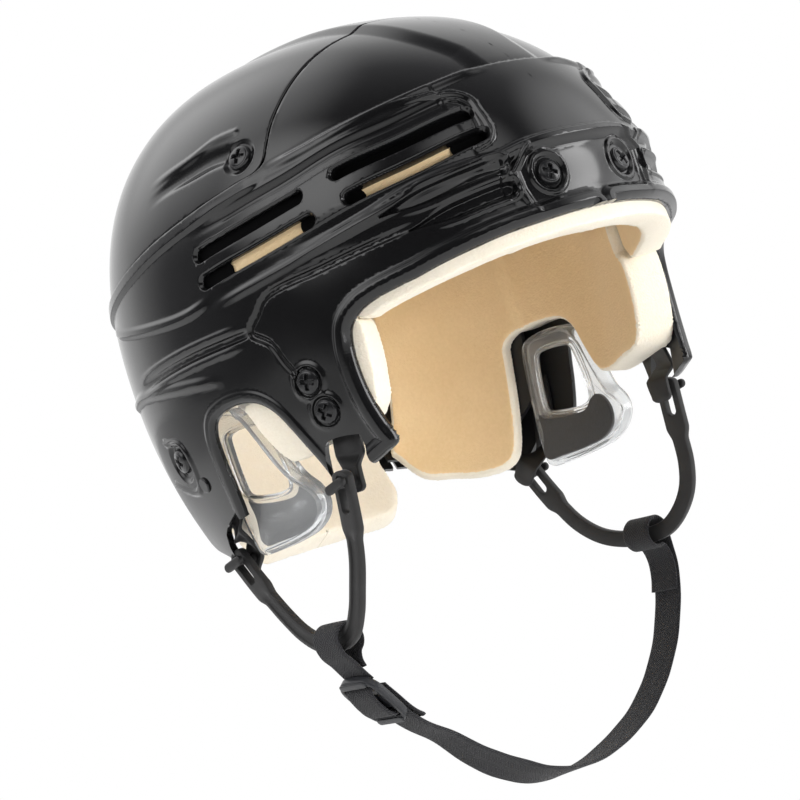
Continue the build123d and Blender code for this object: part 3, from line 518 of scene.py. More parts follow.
VENT_UP = [(101.9, 4.0, 98.3), (101.6, -2.7, 99.5), (96.2, -28, 103.6), (87.7, -50.3, 107.9), (78.3, -65.7, 111.7),
           (61.3, -84.4, 115.3), (37.7, -97.8, 120.1)]
VENT_LOW = [(103.6, 3.0, 87.6), (103.4, -3.9, 88.8), (98.0, -32, 93.4), (88.9, -54.9, 97.8), (79.3, -70.4, 101.2),
            (61.8, -89.4, 105.5), (37.7, -102.9, 110.7)]
C_UP = surf_curve(VENT_UP)
C_LOW = surf_curve(VENT_LOW)
SLOTS = [surf_curve(VENT_UP[1:4]), surf_curve(VENT_UP[4:]), surf_curve(VENT_LOW[1:4]), surf_curve(VENT_LOW[4:])]
C_FRAME = surf_curve([(58.0, -77.0, 128.6), (49.0, -84.0, 129.4), (42.0, -89.0, 129.6), (35.6, -93.6, 128.6), (32.6, -97.2, 125.2),
                      (32.8, -100.2, 119.2), (34.0, -104.2, 111.6), (37.2, -105.2, 107.6), (42.0, -103.8, 105.9)])
C_FRAME_IN = surf_curve([(42.0, -91.6, 125.4), (37.6, -95.0, 124.6), (36.0, -97.4, 121.6), (36.6, -100.6, 115.2), (38.4, -103.0, 110.0)])

# creases, ridges and pockets: screw seat points with their normals, and curves on the surface
P_T1, N_T1 = side_point(-41.2, 40.3)
P_T2, N_T2 = side_point(-44.5, 27.8)
P_LOW, N_LOW = side_point(47.2, 25.4)
P_UP, N_UP = side_point(-23.0, 131.4)
P_FR = onto(np.array([20.5, -116.0, 91.6])[None])[0]
N_FR = normals(P_FR)

FLUTE1 = surf_curve([(75.5, -78.5, 90.5), (62.0, -93.5, 94.2), (45.0, -104.6, 96.8), (39.5, -107.3, 97.4)])
FLUTE2 = surf_curve([(70.5, -86.0, 82.8), (58.5, -98.2, 85.6), (44.0, -107.6, 88.0), (38.5, -110.5, 88.6)])
RIDGE_TOP = surf_curve([(87.0, -33.5, 121.5), (79.0, -52, 124.2), (66.0, -68, 127.6), (50.0, -81.0, 131.6), (38.0, -87.5, 134.2),
                        (25.9, -90.7, 136.0), (9.2, -93, 137.3), (0.0, -93.4, 137.4)])
RIDGE_MID = surf_curve([(98.5, -33.0, 85.4), (88.0, -61.0, 88.8), (79, -77, 92.8), (66, -92.0, 98.4), (50, -103, 100.6), (38.0, -108.5, 100.4),
                        (26.5, -111.0, 102.2), (18.7, -113.0, 103.2), (0, -114.6, 103.8)])
PLATE_SIDE = surf_curve([(26.2, -111.1, 101.8), (31.1, -111.2, 97.8), (35.3, -110.5, 93.9), (35.3, -112.7, 87.1), (33.7, -115.0, 79.3)])
CHEEK = surf_curve([(66.5, -91.5, 85.0), (78.8, -78.6, 83), (91.4, -57.4, 79.5), (100.3, -32.1, 75.6), (102.1, -26.8, 70.5),
                    (103.2, -21.6, 64.5), (102, -29.1, 58.5), (101, -34, 49), (99.6, -39.1, 41.1)])
VEE = surf_curve([(103.2, -21.6, 64.5), (106.2, 11.8, 62.8), (104.3, 37.9, 60.3), (98, 60, 57.5)])
CREASE = surf_curve([(106, -3.6, 49.9), (106, 3.6, 51.3), (105.4, 29.8, 53.2), (97.2, 61.6, 54.7), (87.5, 83.5, 52.3)])
ARM_LOW = surf_curve([(86, 90, 87.0), (93.0, 70, 82.5), (104, 35, 79), (106, 8, 79), (104.5, -14, 84.4)])
POCKET = surf_curve([(97.9, 54.8, 34.2), (101.9, 39.7, 31.0), (99.8, 36.6, 21), (98.3, 40.8, 12.4), (90.5, 64.5, 16.8)])
DOME_CREASE = surf_curve([(89.8, 31.3, 132.7), (87, 5, 137.7), (83, -7.9, 141.3), (80.4, -18.0, 141.6)])
DOME_DIP = surf_curve([(86.5, -17.5, 134.5), (88.0, -8, 134.4), (90.5, 8, 131.6), (92.6, 24, 128.0), (94.0, 40, 123.5)])
SPINE_SIDE = surf_curve([(17.0, -82.0, 146.5), (21.0, -66, 157.0), (22.0, -40, 170.0), (21.5, 0, 177.0), (20.0, 40, 172.0), (15.0, 80, 148.0),
                         (8, 104, 118)])


def slot_field(p):
    q = p.copy()
    q[:, 0] = np.abs(q[:, 0])
    d = np.full(len(p), 1e3)
    for c in SLOTS:
        dd, _ = near_curve(q, c, 14)
        d = np.minimum(d, dd)
    return d - 2.45


def vent_band(q):
    """Height across the vent band: 0 midway between the rows, +5.3 on the upper row, and arc along it."""
    du, au = near_curve(q, C_UP, 40)
    dl, al = near_curve(q, C_LOW, 40)
    gap = 10.9
    v = np.where(du + dl < gap + 2.5, (dl - du) / 2, np.where(du < dl, du + gap / 2, -(dl + gap / 2)))
    return v, (au + al) / 2, np.minimum(du, dl)


def profile(v, knots):
    x = [k[0] for k in knots]
    h = [k[1] for k in knots]
    i = np.clip(np.searchsorted(x, v) - 1, 0, len(x) - 2)
    x0 = np.array(x)[i]
    x1 = np.array(x)[i + 1]
    t = np.clip((v - x0) / (x1 - x0), 0, 1)
    t = t * t * (3 - 2 * t)
    return np.array(h)[i] * (1 - t) + np.array(h)[i + 1] * t


BAND = [(-40, 0), (-19.5, 0), (-16.6, 0.75), (-13.6, -0.55), (-9.6, -0.35), (-8.4, 0.2), (0.0, 0.35), (8.4, 0.2), (9.6, -0.35), (11.6, -0.45),
        (14.0, -1.0), (17.4, 0.9), (21.5, 0.5), (27, 0), (60, 0)]


def front_relief(p):
    """Relief of the front shell along its normal, in mm, at points on the bare surface."""
    q = p.copy()
    q[:, 0] = np.abs(q[:, 0])
    x, y, z = q.T
    h = np.zeros(len(q))
    # vent band
    v, s, _ = vent_band(q)
    total = 128.0
    inb = np.abs(v) < 30
    fade = sstep(2, 26, s)
    fade_out = 1 - sstep(total - 3.5, total - 0.8, s)
    band = profile(np.where(inb, v, 40), BAND)
    h += np.where(inb, band * fade * fade_out, 0)
    d = slot_field(q)
    h -= 1.0 * (1 - sstep(0.2, 1.15, d))
    d, a = near_curve(q, C_FRAME, 12)
    h += 1.15 * bump(d, 0.5, 1.5) * sstep(-1, 12, a)
    d, a = near_curve(q, C_FRAME_IN, 8)
    h -= 0.7 * bump(d, 0.35, 1.1) * sstep(0, 5, a)
    # brow band: raised over the crown, with a ledge at its top
    d, a = near_curve(q, RIDGE_TOP, 60)
    zr = np.interp(-y, -RIDGE_TOP[::-1, 1] if RIDGE_TOP[0, 1] < RIDGE_TOP[-1, 1] else -RIDGE_TOP[:, 1], RIDGE_TOP[:, 2])
    below = z < zr
    ahead = sstep(-40, -72, y)
    lift_band = np.where(below, 1.0, 1 - sstep(0, 4.2, d)) * ahead
    xs = np.interp(y, SPINE_SIDE[:, 1], SPINE_SIDE[:, 0])
    spine = 2.2 * (1 - sstep(xs - 5.0, xs + 4.0, x)) * sstep(114, 126, z) * sstep(-110, -90, y)
    h += np.where(z > 60, np.maximum(2.3 * lift_band * sstep(84, 100, z), spine), 0)
    h += 1.0 * bump(d, 0.6, 2.8) * sstep(-33, -50, y) * sstep(14, 28, x)
    # flutes below the vents
    for c, n in ((FLUTE1, 0), (FLUTE2, 1)):
        d, a = near_curve(q, c, 14)
        w = 2.9 * sstep(-2, 20, a)
        h -= 2.0 * (1 - sstep(w * 0.55, w + 0.35, d))
        h += 0.7 * bump(d - (w + 1.5), 0.25, 1.1) * sstep(4, 24, a)
    # ridge between vents and flutes, and the top line of the front plate
    d, a = near_curve(q, RIDGE_MID, 14)
    side = sstep(10, 40, a)
    h += (1.3 + 1.5 * sstep(-105, -112, y)) * bump(d, 0.8, 2.8) * side
    # front plate: a field set in under the ridge
    xp = np.interp(z, [79.3, 87.1, 93.9, 97.8, 101.8], [33.7, 35.3, 35.3, 31.1, 26.2])
    front = sstep(-96, -104, y)
    h += -1.2 * (1 - sstep(xp - 4.0, xp - 1.0, x)) * (1 - sstep(99.0, 102.5, z)) * front * sstep(74, 82, z)
    h += 1.2 * bump(x - xp, 0.4, 1.1) * front * sstep(78, 84, z) * (1 - sstep(100, 103.5, z))
    h -= 0.8 * bump(x - xp - 3.6, 0.8, 1.6) * front * sstep(80, 87, z) * (1 - sstep(97, 101, z))
    # cheek panel: groove round it
    d, a = near_curve(q, CHEEK, 10)
    cheek = 1.3 * bump(d, 0.5, 1.6) * sstep(0, 22, a)
    # arm: lower edge of the band, V groove, crease
    d, a = near_curve(q, ARM_LOW, 14)
    h += 1.0 * bump(d, 0.5, 2.6) * sstep(0, 16, a) * (1 - sstep(85, 100, a))
    d, a = near_curve(q, VEE, 12)
    vee = 1.3 * bump(d, 0.6, 1.8) * (1 - sstep(60, 84, a)) * sstep(-1, 5, a)
    h -= np.maximum(cheek, vee)
    h += 0.6 * bump(d - 3.8, 0.3, 1.7) * (1 - sstep(60, 84, a)) * sstep(4, 14, a)
    d, a = near_curve(q, CREASE, 14)
    h += 1.1 * bump(d, 0.3, 3.0) * sstep(0, 18, a)
    # pocket of the lower screw
    d, a = near_curve(q, POCKET, 16)
    r = np.linalg.norm(q - P_LOW, axis=1)
    h -= 1.7 * (1 - sstep(7.4, 9.6, r))
    h += 0.9 * bump(d, 0.5, 1.7)
    # seats of the temple and front screws
    for c, rr in ((P_T1, 6.0), (P_T2, 6.0)):
        r = np.linalg.norm(q - c, axis=1)
        h += 0.5 * (1 - sstep(rr + 0.6, rr + 2.4, r)) - 0.9 * (1 - sstep(rr - 0.5, rr + 0.2, r))
    r = np.linalg.norm(q - P_FR, axis=1)
    h += 0.9 * bump(r - 8.0, 0.4, 1.2) - 0.9 * (1 - sstep(5.9, 6.7, r))
    # raised rim strip of the arm along the seam
    d, a = near_curve(q, C_SEAM, 16)
    strip = (1 - sstep(4.3, 6.4, d)) * sstep(-38, -28, y)
    h += 1.5 * strip
    # rolled lip of the face opening
    d, a = near_curve(q, C_LIP, 14)
    h += 1.7 * bump(d - 3.6, 0.8, 3.2)
    h -= 2.6 - np.sqrt(np.clip(2.6 ** 2 - np.clip(2.6 - d, 0, 2.6) ** 2, 0, None))
    d, a = near_curve(q, C_EAR, 10)
    h += 0.5 * bump(d - 3.0, 0.8, 1.8)
    h -= 1.3 - np.sqrt(np.clip(1.3 ** 2 - np.clip(1.3 - d, 0, 1.3) ** 2, 0, None))
    d, a = near_curve(q, C_BOTTOM, 10)
    h -= 1.3 - np.sqrt(np.clip(1.3 ** 2 - np.clip(1.3 - d, 0, 1.3) ** 2, 0, None))
    d, a = near_curve(q, C_SEAM, 10)
    h -= 0.8 - np.sqrt(np.clip(0.8 ** 2 - np.clip(0.8 - d, 0, 0.8) ** 2, 0, None))
    # rounded rims of the vent holes
    d = slot_field(q)
    h -= np.where(d < 0.7, 0.7 - np.sqrt(np.clip(0.7 ** 2 - np.clip(0.7 - d, 0, 0.7) ** 2, 0, None)), 0)
    return h


def rear_relief(p):
    q = p.copy()
    q[:, 0] = np.abs(q[:, 0])
    x, y, z = q.T
    h = np.zeros(len(q))
    # scalloped pocket of the upper screw
    r = np.linalg.norm(q - P_UP, axis=1)
    d, a = near_curve(q, DOME_CREASE, 20)
    h += 0.7 * bump(d, 0.2, 2.6) * sstep(0, 20, a)
    d, a = near_curve(q, DOME_DIP, 24)
    h -= 1.9 * bump(d, 0.6, 5.6 - 2.6 * sstep(14, 42, a)) * (1 - sstep(16, 50, a)) * sstep(-2, 4, a + 6 - d)
    h -= 1.2 * (1 - sstep(5.8, 8.2, r))
    # crown spine
    xs = np.interp(y, SPINE_SIDE[:, 1], SPINE_SIDE[:, 0])
    h += 2.2 * (1 - sstep(xs - 5.0, xs + 4.0, x)) * (1 - sstep(70, 100, y)) * sstep(96, 110, z)
    # back column: two shallow flutes and a raised frame
    col = (y > 80) & (z < 100)
    h -= 1.3 * bump(x - 26, 2.2, 1.6) * sstep(10, 24, z) * (1 - sstep(78, 92, z)) * (y > 60)
    h += 0.8 * bump(x - 45, 1.0, 3.0) * sstep(4, 20, z) * (1 - sstep(84, 98, z)) * (y > 60)
    # edges
    d, a = near_curve(q, C_SEAM, 10)
    d = np.maximum(d - 0.6, 0)
    h -= 0.9 - np.sqrt(np.clip(0.9 ** 2 - np.clip(0.9 - d, 0, 0.9) ** 2, 0, None))
    return h


def build_front():
    v, f = half_dome()
    v, f = refine(v, f, None, 1.9, 1.0, 1, rounds=1)
    v, f = cut(v, f, lambda p: sd2d(p, FRONT_POLY))
    v, f = cut(v, f, lambda p: -sd2d(p, CUT_POLY))
    v, f = cut(v, f, lambda p: np.where(p[:, 1] > 15, 56.2 - p[:, 0], -20.0))
    v, f = refine(v, f, front_relief, 1.8, 0.42, 0.11, rounds=4)
    v, f = cut(v, f, lambda p: -sd2d(p, NF_POLY))
    v, f = cut(v, f, lambda p: -sd2d(p, NR_POLY))
    v, f = cut(v, f, lambda p: -slot_field(p))
    h = front_relief(v)
    n = normals(v)
    vn = relief_normals(v, n, front_relief)
    out = v + n * h[:, None]
    inn = v + n * np.minimum(h - 1.7, -2.8)[:, None]
    pos, faces, kind = sheet_solid(v, f, out, inn, skip=lambda m: np.abs(m[:, 0]) < 1e-5)
    return mirror_join(pos, faces, kind, vn=np.vstack([vn, np.zeros((len(pos) - len(vn), 3))]))


NF_POLY = np.array(smooth(NOTCH_FRONT[:6], 0.8).tolist() + NOTCH_FRONT[6:], float)
NR_POLY = np.array(NOTCH_REAR, float)


def build_rear():
    v, f = half_dome()
    v, f = refine(v, f, None, 1.9, 1.0, 1, rounds=1)

    def field(p):
        a = sd2d(p, REAR_POLY)
        b = np.maximum(sd2d(p, COLUMN_POLY), p[:, 0] - 55.0)
        b = np.where(p[:, 1] > 0, b, 50.0)
        return np.minimum(a, b)
    v, f = cut(v, f, field)
    v, f = refine(v, f, rear_relief, 1.9, 0.42, 0.11, rounds=4)
    h = rear_relief(v)
    n = normals(v)
    out = v + n * h[:, None]
    inn = v + n * np.minimum(h - 1.7, -2.8)[:, None]
    vn = relief_normals(v, n, rear_relief)
    pos, faces, kind = sheet_solid(v, f, out, inn, skip=lambda m: np.abs(m[:, 0]) < 1e-5)
    return mirror_join(pos, faces, kind, vn=np.vstack([vn, np.zeros((len(pos) - len(vn), 3))]))


def build_sheet(poly, o_out, o_in, extra=None, level=6, longest=4.0):
    """Plain sheet between two depths, for the hidden flange and wings."""
    v, f = half_dome(level)
    v, f = cut(v, f, lambda p: sd2d(p, np.array(poly, float)))
    if extra is not None:
        v, f = cut(v, f, extra)
    v, f = refine(v, f, None, longest, 1, 1, rounds=2)
    n = normals(v)
    pos, faces, kind = sheet_solid(v, f, v - n * o_out, v - n * o_in, skip=lambda m: np.abs(m[:, 0]) < 1e-5)
    return mirror_join(pos, faces, kind)


# ------------------------------------------------------------------ materials
def new_material(name):
    m = bpy.data.materials.new(name)
    m.use_nodes = True
    nt = m.node_tree
    nt.nodes.clear()
    out = nt.nodes.new("ShaderNodeOutputMaterial")
    b = nt.nodes.new("ShaderNodeBsdfPrincipled")
    nt.links.new(b.outputs[0], out.inputs[0])
    return m, nt, b


def node(nt, kind, ins=None, **props):
    n = nt.nodes.new(kind)
    for k, v in props.items():
        setattr(n, k, v)
    for k, v in (ins or {}).items():
        if isinstance(v, bpy.types.NodeSocket):
            nt.links.new(v, n.inputs[k])
        else:
            n.inputs[k].default_value = v
    return n


def ramp(nt, fac, stops):
    r = nt.nodes.new("ShaderNodeValToRGB")
    nt.links.new(fac, r.inputs[0])
    e = r.color_ramp.elements
    while len(e) < len(stops):
        e.new(0.5)
    for el, (pos, col) in zip(e, stops):
        el.position = pos
        el.color = (*col, 1) if len(col) == 3 else col
    return r.outputs[0]


def noise(nt, vec, scale, detail=4.0, rough=0.55, distort=0.0):
    n = node(nt, "ShaderNodeTexNoise", {"Vector": vec, "Scale": scale, "Detail": detail, "Roughness": rough, "Distortion": distort})
    return n.outputs[0]


def spread(nt, val, lo, hi, a=0.3, b=0.7):
    n = node(nt, "ShaderNodeMapRange", {0: val, 1: a, 2: b, 3: lo, 4: hi})
    return n.outputs[0]


def scaled(c, k):
    return tuple(min(1.0, x * k) for x in c)


def moulded(name, colour, r_lo, r_hi, grain=900.0, grain_depth=0.00003, vary=0.18, smudge=14.0, scratch=0.0, **sockets):
    """Moulded plastic or rubber: slow colour drift, smudged roughness, fine grain in the surface."""
    m, nt, b = new_material(name)
    co = node(nt, "ShaderNodeTexCoord").outputs["Object"]
    big = noise(nt, co, smudge, 5.0, 0.6)
    c = ramp(nt, big, [(0.3, scaled(colour, 1 - vary)), (0.72, scaled(colour, 1 + vary))])
    nt.links.new(c, b.inputs["Base Color"])
    mid = noise(nt, co, smudge * 6, 6.0, 0.65, 0.4)
    nt.links.new(spread(nt, mid, r_lo, r_hi), b.inputs["Roughness"])
    fine = noise(nt, co, grain, 3.0, 0.5)
    h = node(nt, "ShaderNodeBump", {"Strength": 1.0, "Distance": grain_depth, "Height": fine})
    last = h.outputs[0]
    if scratch:
        st = node(nt, "ShaderNodeMapping", {"Vector": co, "Scale": (60.0, 900.0, 300.0), "Rotation": (0.3, 0.7, 0.2)}).outputs[0]
        lines = ramp(nt, noise(nt, st, 1.0, 2.0, 0.5), [(0.64, (0, 0, 0)), (0.70, (1, 1, 1))])
        h2 = node(nt, "ShaderNodeBump", {"Strength": scratch, "Distance": 0.00001, "Height": lines, "Normal": last})
        last = h2.outputs[0]
    nt.links.new(last, b.inputs["Normal"])
    for k, v in sockets.items():
        b.inputs[k.replace("_", " ")].default_value = v
    return m


def foam(name, lo, hi):
    """Closed-cell foam: fine pits, faint mottling and a soft sheen."""
    m, nt, b = new_material(name)
    co = node(nt, "ShaderNodeTexCoord").outputs["Object"]
    big = noise(nt, co, 22.0, 5.0, 0.6)
    cells = node(nt, "ShaderNodeTexVoronoi", {"Vector": co, "Scale": 1150.0, "Randomness": 1.0}).outputs["Distance"]
    spots = noise(nt, co, 700.0, 2.0, 0.5)
    mix = node(nt, "ShaderNodeMath", {0: big, 1: spread(nt, spots, -0.12, 0.12)}, operation="ADD").outputs[0]
    nt.links.new(ramp(nt, mix, [(0.3, lo), (0.7, hi)]), b.inputs["Base Color"])
    h1 = node(nt, "ShaderNodeBump", {"Strength": 0.75, "Distance": 0.00022, "Height": cells})
    h2 = node(nt, "ShaderNodeBump", {"Strength": 0.6, "Distance": 0.0005, "Height": noise(nt, co, 120.0, 4.0, 0.6), "Normal": h1.outputs[0]})
    nt.links.new(h2.outputs[0], b.inputs["Normal"])
    nt.links.new(spread(nt, spots, 0.78, 0.95), b.inputs["Roughness"])
    b.inputs["Specular IOR Level"].default_value = 0.25
    b.inputs["Sheen Weight"].default_value = 0.15
    b.inputs["Subsurface Weight"].default_value = 0.12
    b.inputs["Subsurface Radius"].default_value = (0.004, 0.003, 0.002)
    b.inputs["Subsurface Scale"].default_value = 0.5
    return m


M_SHELL = moulded("shell_plastic", (0.0040, 0.0040, 0.0043), 0.10, 0.17, grain=300.0, grain_depth=0.0000012, smudge=9.0, scratch=0.12,
                  Coat_Weight=0.25, Coat_Roughness=0.09)
M_SHELL_IN = moulded("shell_inside", (0.010, 0.010, 0.011), 0.34, 0.5, grain=1500.0, grain_depth=0.00003)
# near-black, fully rough, barely reflecting material: painted shade for the dark depth seen through the vent slots
M_VENT_SHADE = moulded("vent_painted_shade", (0.0022, 0.0022, 0.0024), 0.85, 0.98, grain=1500.0, grain_depth=0.00004, Specular_IOR_Level=0.08)
M_TAN = foam("liner_foam", (0.86, 0.635, 0.355), (0.925, 0.70, 0.42))
M_CREAM = foam("brow_foam", (0.83, 0.755, 0.62), (0.88, 0.81, 0.68))
M_TAB = moulded("tab_plastic", (0.012, 0.0118, 0.012), 0.42, 0.58, grain=1700.0, grain_depth=0.00005)
M_RUBBER = moulded("loop_rubber", (0.013, 0.0125, 0.0125), 0.5, 0.66, grain=2100.0, grain_depth=0.00006, Sheen_Weight=0.1)
M_BUCKLE = moulded("buckle_plastic", (0.020, 0.021, 0.024), 0.30, 0.44, grain=1300.0, grain_depth=0.00004)
M_SCREW = moulded("screw_black", (0.012, 0.012, 0.013), 0.13, 0.26, grain=2400.0, grain_depth=0.00001, Metallic=0.35, Coat_Weight=0.4,
                  Coat_Roughness=0.08)
M_STEEL = moulded("nut_steel", (0.56, 0.56, 0.55), 0.24, 0.42, grain=3000.0, grain_depth=0.000015, vary=0.1, Metallic=1.0)


def clear_plastic():
    m, nt, b = new_material("guard_plastic")
    co = node(nt, "ShaderNodeTexCoord").outputs["Object"]
    big = noise(nt, co, 18.0, 4.0, 0.6)
    nt.links.new(ramp(nt, big, [(0.3, (0.92, 0.94, 0.95)), (0.7, (0.97, 0.98, 0.98))]), b.inputs["Base Color"])
    nt.links.new(spread(nt, noise(nt, co, 90.0, 5.0, 0.6), 0.05, 0.13), b.inputs["Roughness"])
    h = node(nt, "ShaderNodeBump", {"Strength": 0.5, "Distance": 0.00006, "Height": noise(nt, co, 160.0, 3.0, 0.5)})
    nt.links.new(h.outputs[0], b.inputs["Normal"])
    b.inputs["Transmission Weight"].default_value = 0.86
    b.inputs["IOR"].default_value = 1.47
    return m


def felt_cloth():
    m, nt, b = new_material("felt")
    co = node(nt, "ShaderNodeTexCoord").outputs["Object"]
    fib = noise(nt, node(nt, "ShaderNodeMapping", {"Vector": co, "Scale": (1.0, 2.6, 0.8), "Rotation": (0.5, 0.2, 0.9)}).outputs[0], 900.0, 6.0, 0.7, 1.5)
    nt.links.new(ramp(nt, fib, [(0.35, (0.007, 0.0065, 0.0065)), (0.7, (0.019, 0.0175, 0.0175))]), b.inputs["Base Color"])
    h = node(nt, "ShaderNodeBump", {"Strength": 0.9, "Distance": 0.0003, "Height": fib})
    nt.links.new(h.outputs[0], b.inputs["Normal"])
    nt.links.new(spread(nt, fib, 0.85, 1.0), b.inputs["Roughness"])
    b.inputs["Sheen Weight"].default_value = 0.4
    b.inputs["Sheen Roughness"].default_value = 0.6
    return m


def webbing_cloth():
    """Woven webbing from its UVs in millimetres: herringbone ribs, fine picks and a denser edge."""
    m, nt, b = new_material("webbing")
    uv = node(nt, "ShaderNodeTexCoord").outputs["UV"]
    sep = node(nt, "ShaderNodeSeparateXYZ", {0: uv})
    u, v = sep.outputs[0], sep.outputs[1]

    def mth(op, a, c=None, d=None):
        ins = {0: a}
        if c is not None:
            ins[1] = c
        if d is not None:
            ins[2] = d
        return node(nt, "ShaderNodeMath", ins, operation=op).outputs[0]
    zig = mth("PINGPONG", u, 3.0)
    ribs = mth("SINE", mth("MULTIPLY", mth("ADD", v, zig), 2 * math.pi / 1.35))
    picks = mth("SINE", mth("MULTIPLY", u, 2 * math.pi / 0.75))
    cross = mth("SINE", mth("MULTIPLY", v, 2 * math.pi / 0.62))
    h = mth("ADD", mth("MULTIPLY", ribs, 0.6), mth("ADD", mth("MULTIPLY", picks, 0.22), mth("MULTIPLY", cross, 0.22)))
    edge = mth("GREATER_THAN", mth("ABSOLUTE", mth("SUBTRACT", u, 7.5)), 6.6)
    h = mth("ADD", h, mth("MULTIPLY", edge, 0.5))
    co = node(nt, "ShaderNodeTexCoord").outputs["Object"]
    fuzz = noise(nt, co, 1900.0, 4.0, 0.65)
    h = mth("ADD", h, mth("MULTIPLY", fuzz, 0.7))
    bump_n = node(nt, "ShaderNodeBump", {"Strength": 0.9, "Distance": 0.00016, "Height": h})
    nt.links.new(bump_n.outputs[0], b.inputs["Normal"])
    # base colour follows the weave height: darker in the hollows between ribs and picks and lighter on the raised edge,
    # which is painted shade, plus random mottling from noise
    weave_shade_and_tone = spread(nt, mth("ADD", mth("MULTIPLY", h, 0.4), mth("MULTIPLY", noise(nt, co, 60.0, 4.0, 0.6), 0.5)), 0.0, 1.0, -0.2, 0.75)
    nt.links.new(ramp(nt, weave_shade_and_tone, [(0.0, (0.0045, 0.0045, 0.005)), (1.0, (0.018, 0.018, 0.021))]), b.inputs["Base Color"])
    nt.links.new(spread(nt, fuzz, 0.7, 0.9), b.inputs["Roughness"])
    b.inputs["Sheen Weight"].default_value = 0.08
    b.inputs["Sheen Roughness"].default_value = 0.5
    return m


M_CLEAR = clear_plastic()
M_FELT = felt_cloth()
M_WEB = webbing_cloth()


# ------------------------------------------------------------------ general solids
def finish_piece(obj, body, nodes=()):
    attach(obj, body)
    if nodes:
        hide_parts(*nodes)
    return obj


def rings_object(name, rings, mats, cap0=True, cap1=True, wrap=False, sharp=38.0, kinds=None):
    """Loft through closed rings of equal counts, with flat caps or joined end to start."""
    rings = [np.asarray(r, float) for r in rings]
    n, m = len(rings), len(rings[0])
    bm = bmesh.new()
    vs = [[bm.verts.new(tuple(p * MM)) for p in r] for r in rings]
    for i in range(n if wrap else n - 1):
        a, b2 = vs[i], vs[(i + 1) % n]
        for j in range(m):
            k = (j + 1) % m
            f = bm.faces.new((a[j], a[k], b2[k], b2[j]))
            f.smooth = True
            if kinds is not None:
                f.material_index = kinds[i]
    if not wrap:
        for flag, ring in ((cap0, vs[0][::-1]), (cap1, vs[-1])):
            if flag:
                f = bm.faces.new(ring)
                f.smooth = True
    bmesh.ops.recalc_face_normals(bm, faces=bm.faces)
    mesh = bpy.data.meshes.new(name)
    bm.to_mesh(mesh)
    bm.free()
    for mt in (mats if isinstance(mats, (list, tuple)) else [mats]):
        mesh.materials.append(mt)
    if sharp:
        mesh.set_sharp_from_angle(angle=math.radians(sharp))
    obj = bpy.data.objects.new(name, mesh)
    bpy.context.scene.collection.objects.link(obj)
    return obj


def plate(name, outlines, origin, ux, uy, depth, bevel, mat, centre=False, sharp=30.0):
    """Flat piece with rounded edges: outlines (first outer, then holes) in the plane of ux and uy, depth along their cross product."""
    ux = np.array(ux, float)
    ux /= np.linalg.norm(ux)
    uy = np.array(uy, float)
    uy /= np.linalg.norm(uy)
    w = np.cross(ux, uy)
    cu = bpy.data.curves.new(name, "CURVE")
    cu.dimensions = "2D"
    cu.fill_mode = "BOTH"
    for o in outlines:
        s = cu.splines.new("POLY")
        s.points.add(len(o) - 1)
        for p, q in zip(s.points, o):
            p.co = (q[0] * MM, q[1] * MM, 0, 1)
        s.use_cyclic_u = True
    cu.extrude = (depth / 2 - bevel) * MM
    cu.bevel_depth = bevel * MM
    cu.bevel_resolution = 3
    cu.offset = -bevel * MM
    tmp = bpy.data.objects.new(name + "_c", cu)
    bpy.context.scene.collection.objects.link(tmp)
    mesh = bpy.data.meshes.new_from_object(tmp.evaluated_get(bpy.context.evaluated_depsgraph_get()))
    bpy.data.objects.remove(tmp)
    off = np.asarray(origin, float) + (0 if centre else w * depth / 2)
    mesh.transform(Matrix(((ux[0], uy[0], w[0], off[0] * MM), (ux[1], uy[1], w[1], off[1] * MM),
                           (ux[2], uy[2], w[2], off[2] * MM), (0, 0, 0, 1))))
    mesh.name = name
    bm = bmesh.new()
    bm.from_mesh(mesh)
    bmesh.ops.remove_doubles(bm, verts=bm.verts, dist=1e-6)
    bmesh.ops.recalc_face_normals(bm, faces=bm.faces)
    bm.to_mesh(mesh)
    bm.free()
    mesh.materials.clear()
    mesh.materials.append(mat)
    mesh.polygons.foreach_set("use_smooth", np.ones(len(mesh.polygons), bool))
    mesh.polygons.foreach_set("material_index", np.zeros(len(mesh.polygons), np.int32))
    mesh.set_sharp_from_angle(angle=math.radians(sharp))
    obj = bpy.data.objects.new(name, mesh)
    bpy.context.scene.collection.objects.link(obj)
    return obj


def merge(name, objs):
    """One object from several, kept in place."""
    bm = bmesh.new()
    mats = []
    for o in objs:
        me = o.data
        base = []
        for mt in me.materials:
            if mt not in mats:
                mats.append(mt)
            base.append(mats.index(mt))
        start = len(bm.faces)
        bm.from_mesh(me)
        bm.faces.ensure_lookup_table()
        for f in bm.faces[start:]:
            f.material_index = base[min(f.material_index, len(base) - 1)]
    mesh = bpy.data.meshes.new(name)
    bm.to_mesh(mesh)
    bm.free()
    for mt in mats:
        mesh.materials.append(mt)
    for o in objs:
        bpy.data.objects.remove(o)
    obj = bpy.data.objects.new(name, mesh)
    bpy.context.scene.collection.objects.link(obj)
    return obj


def mirrored(obj, name):
    mesh = obj.data.copy()
    mesh.name = name
    mesh.transform(Matrix.Diagonal((-1, 1, 1, 1)))
    mesh.flip_normals()
    new = bpy.data.objects.new(name, mesh)
    bpy.context.scene.collection.objects.link(new)
    return new


def frame_axes(n, hint=(0.0, 0.0, 1.0)):
    n = np.array(n, float)
    n /= np.linalg.norm(n)
    u = np.cross(hint, n)
    u /= np.linalg.norm(u)
    return u, np.cross(n, u), n


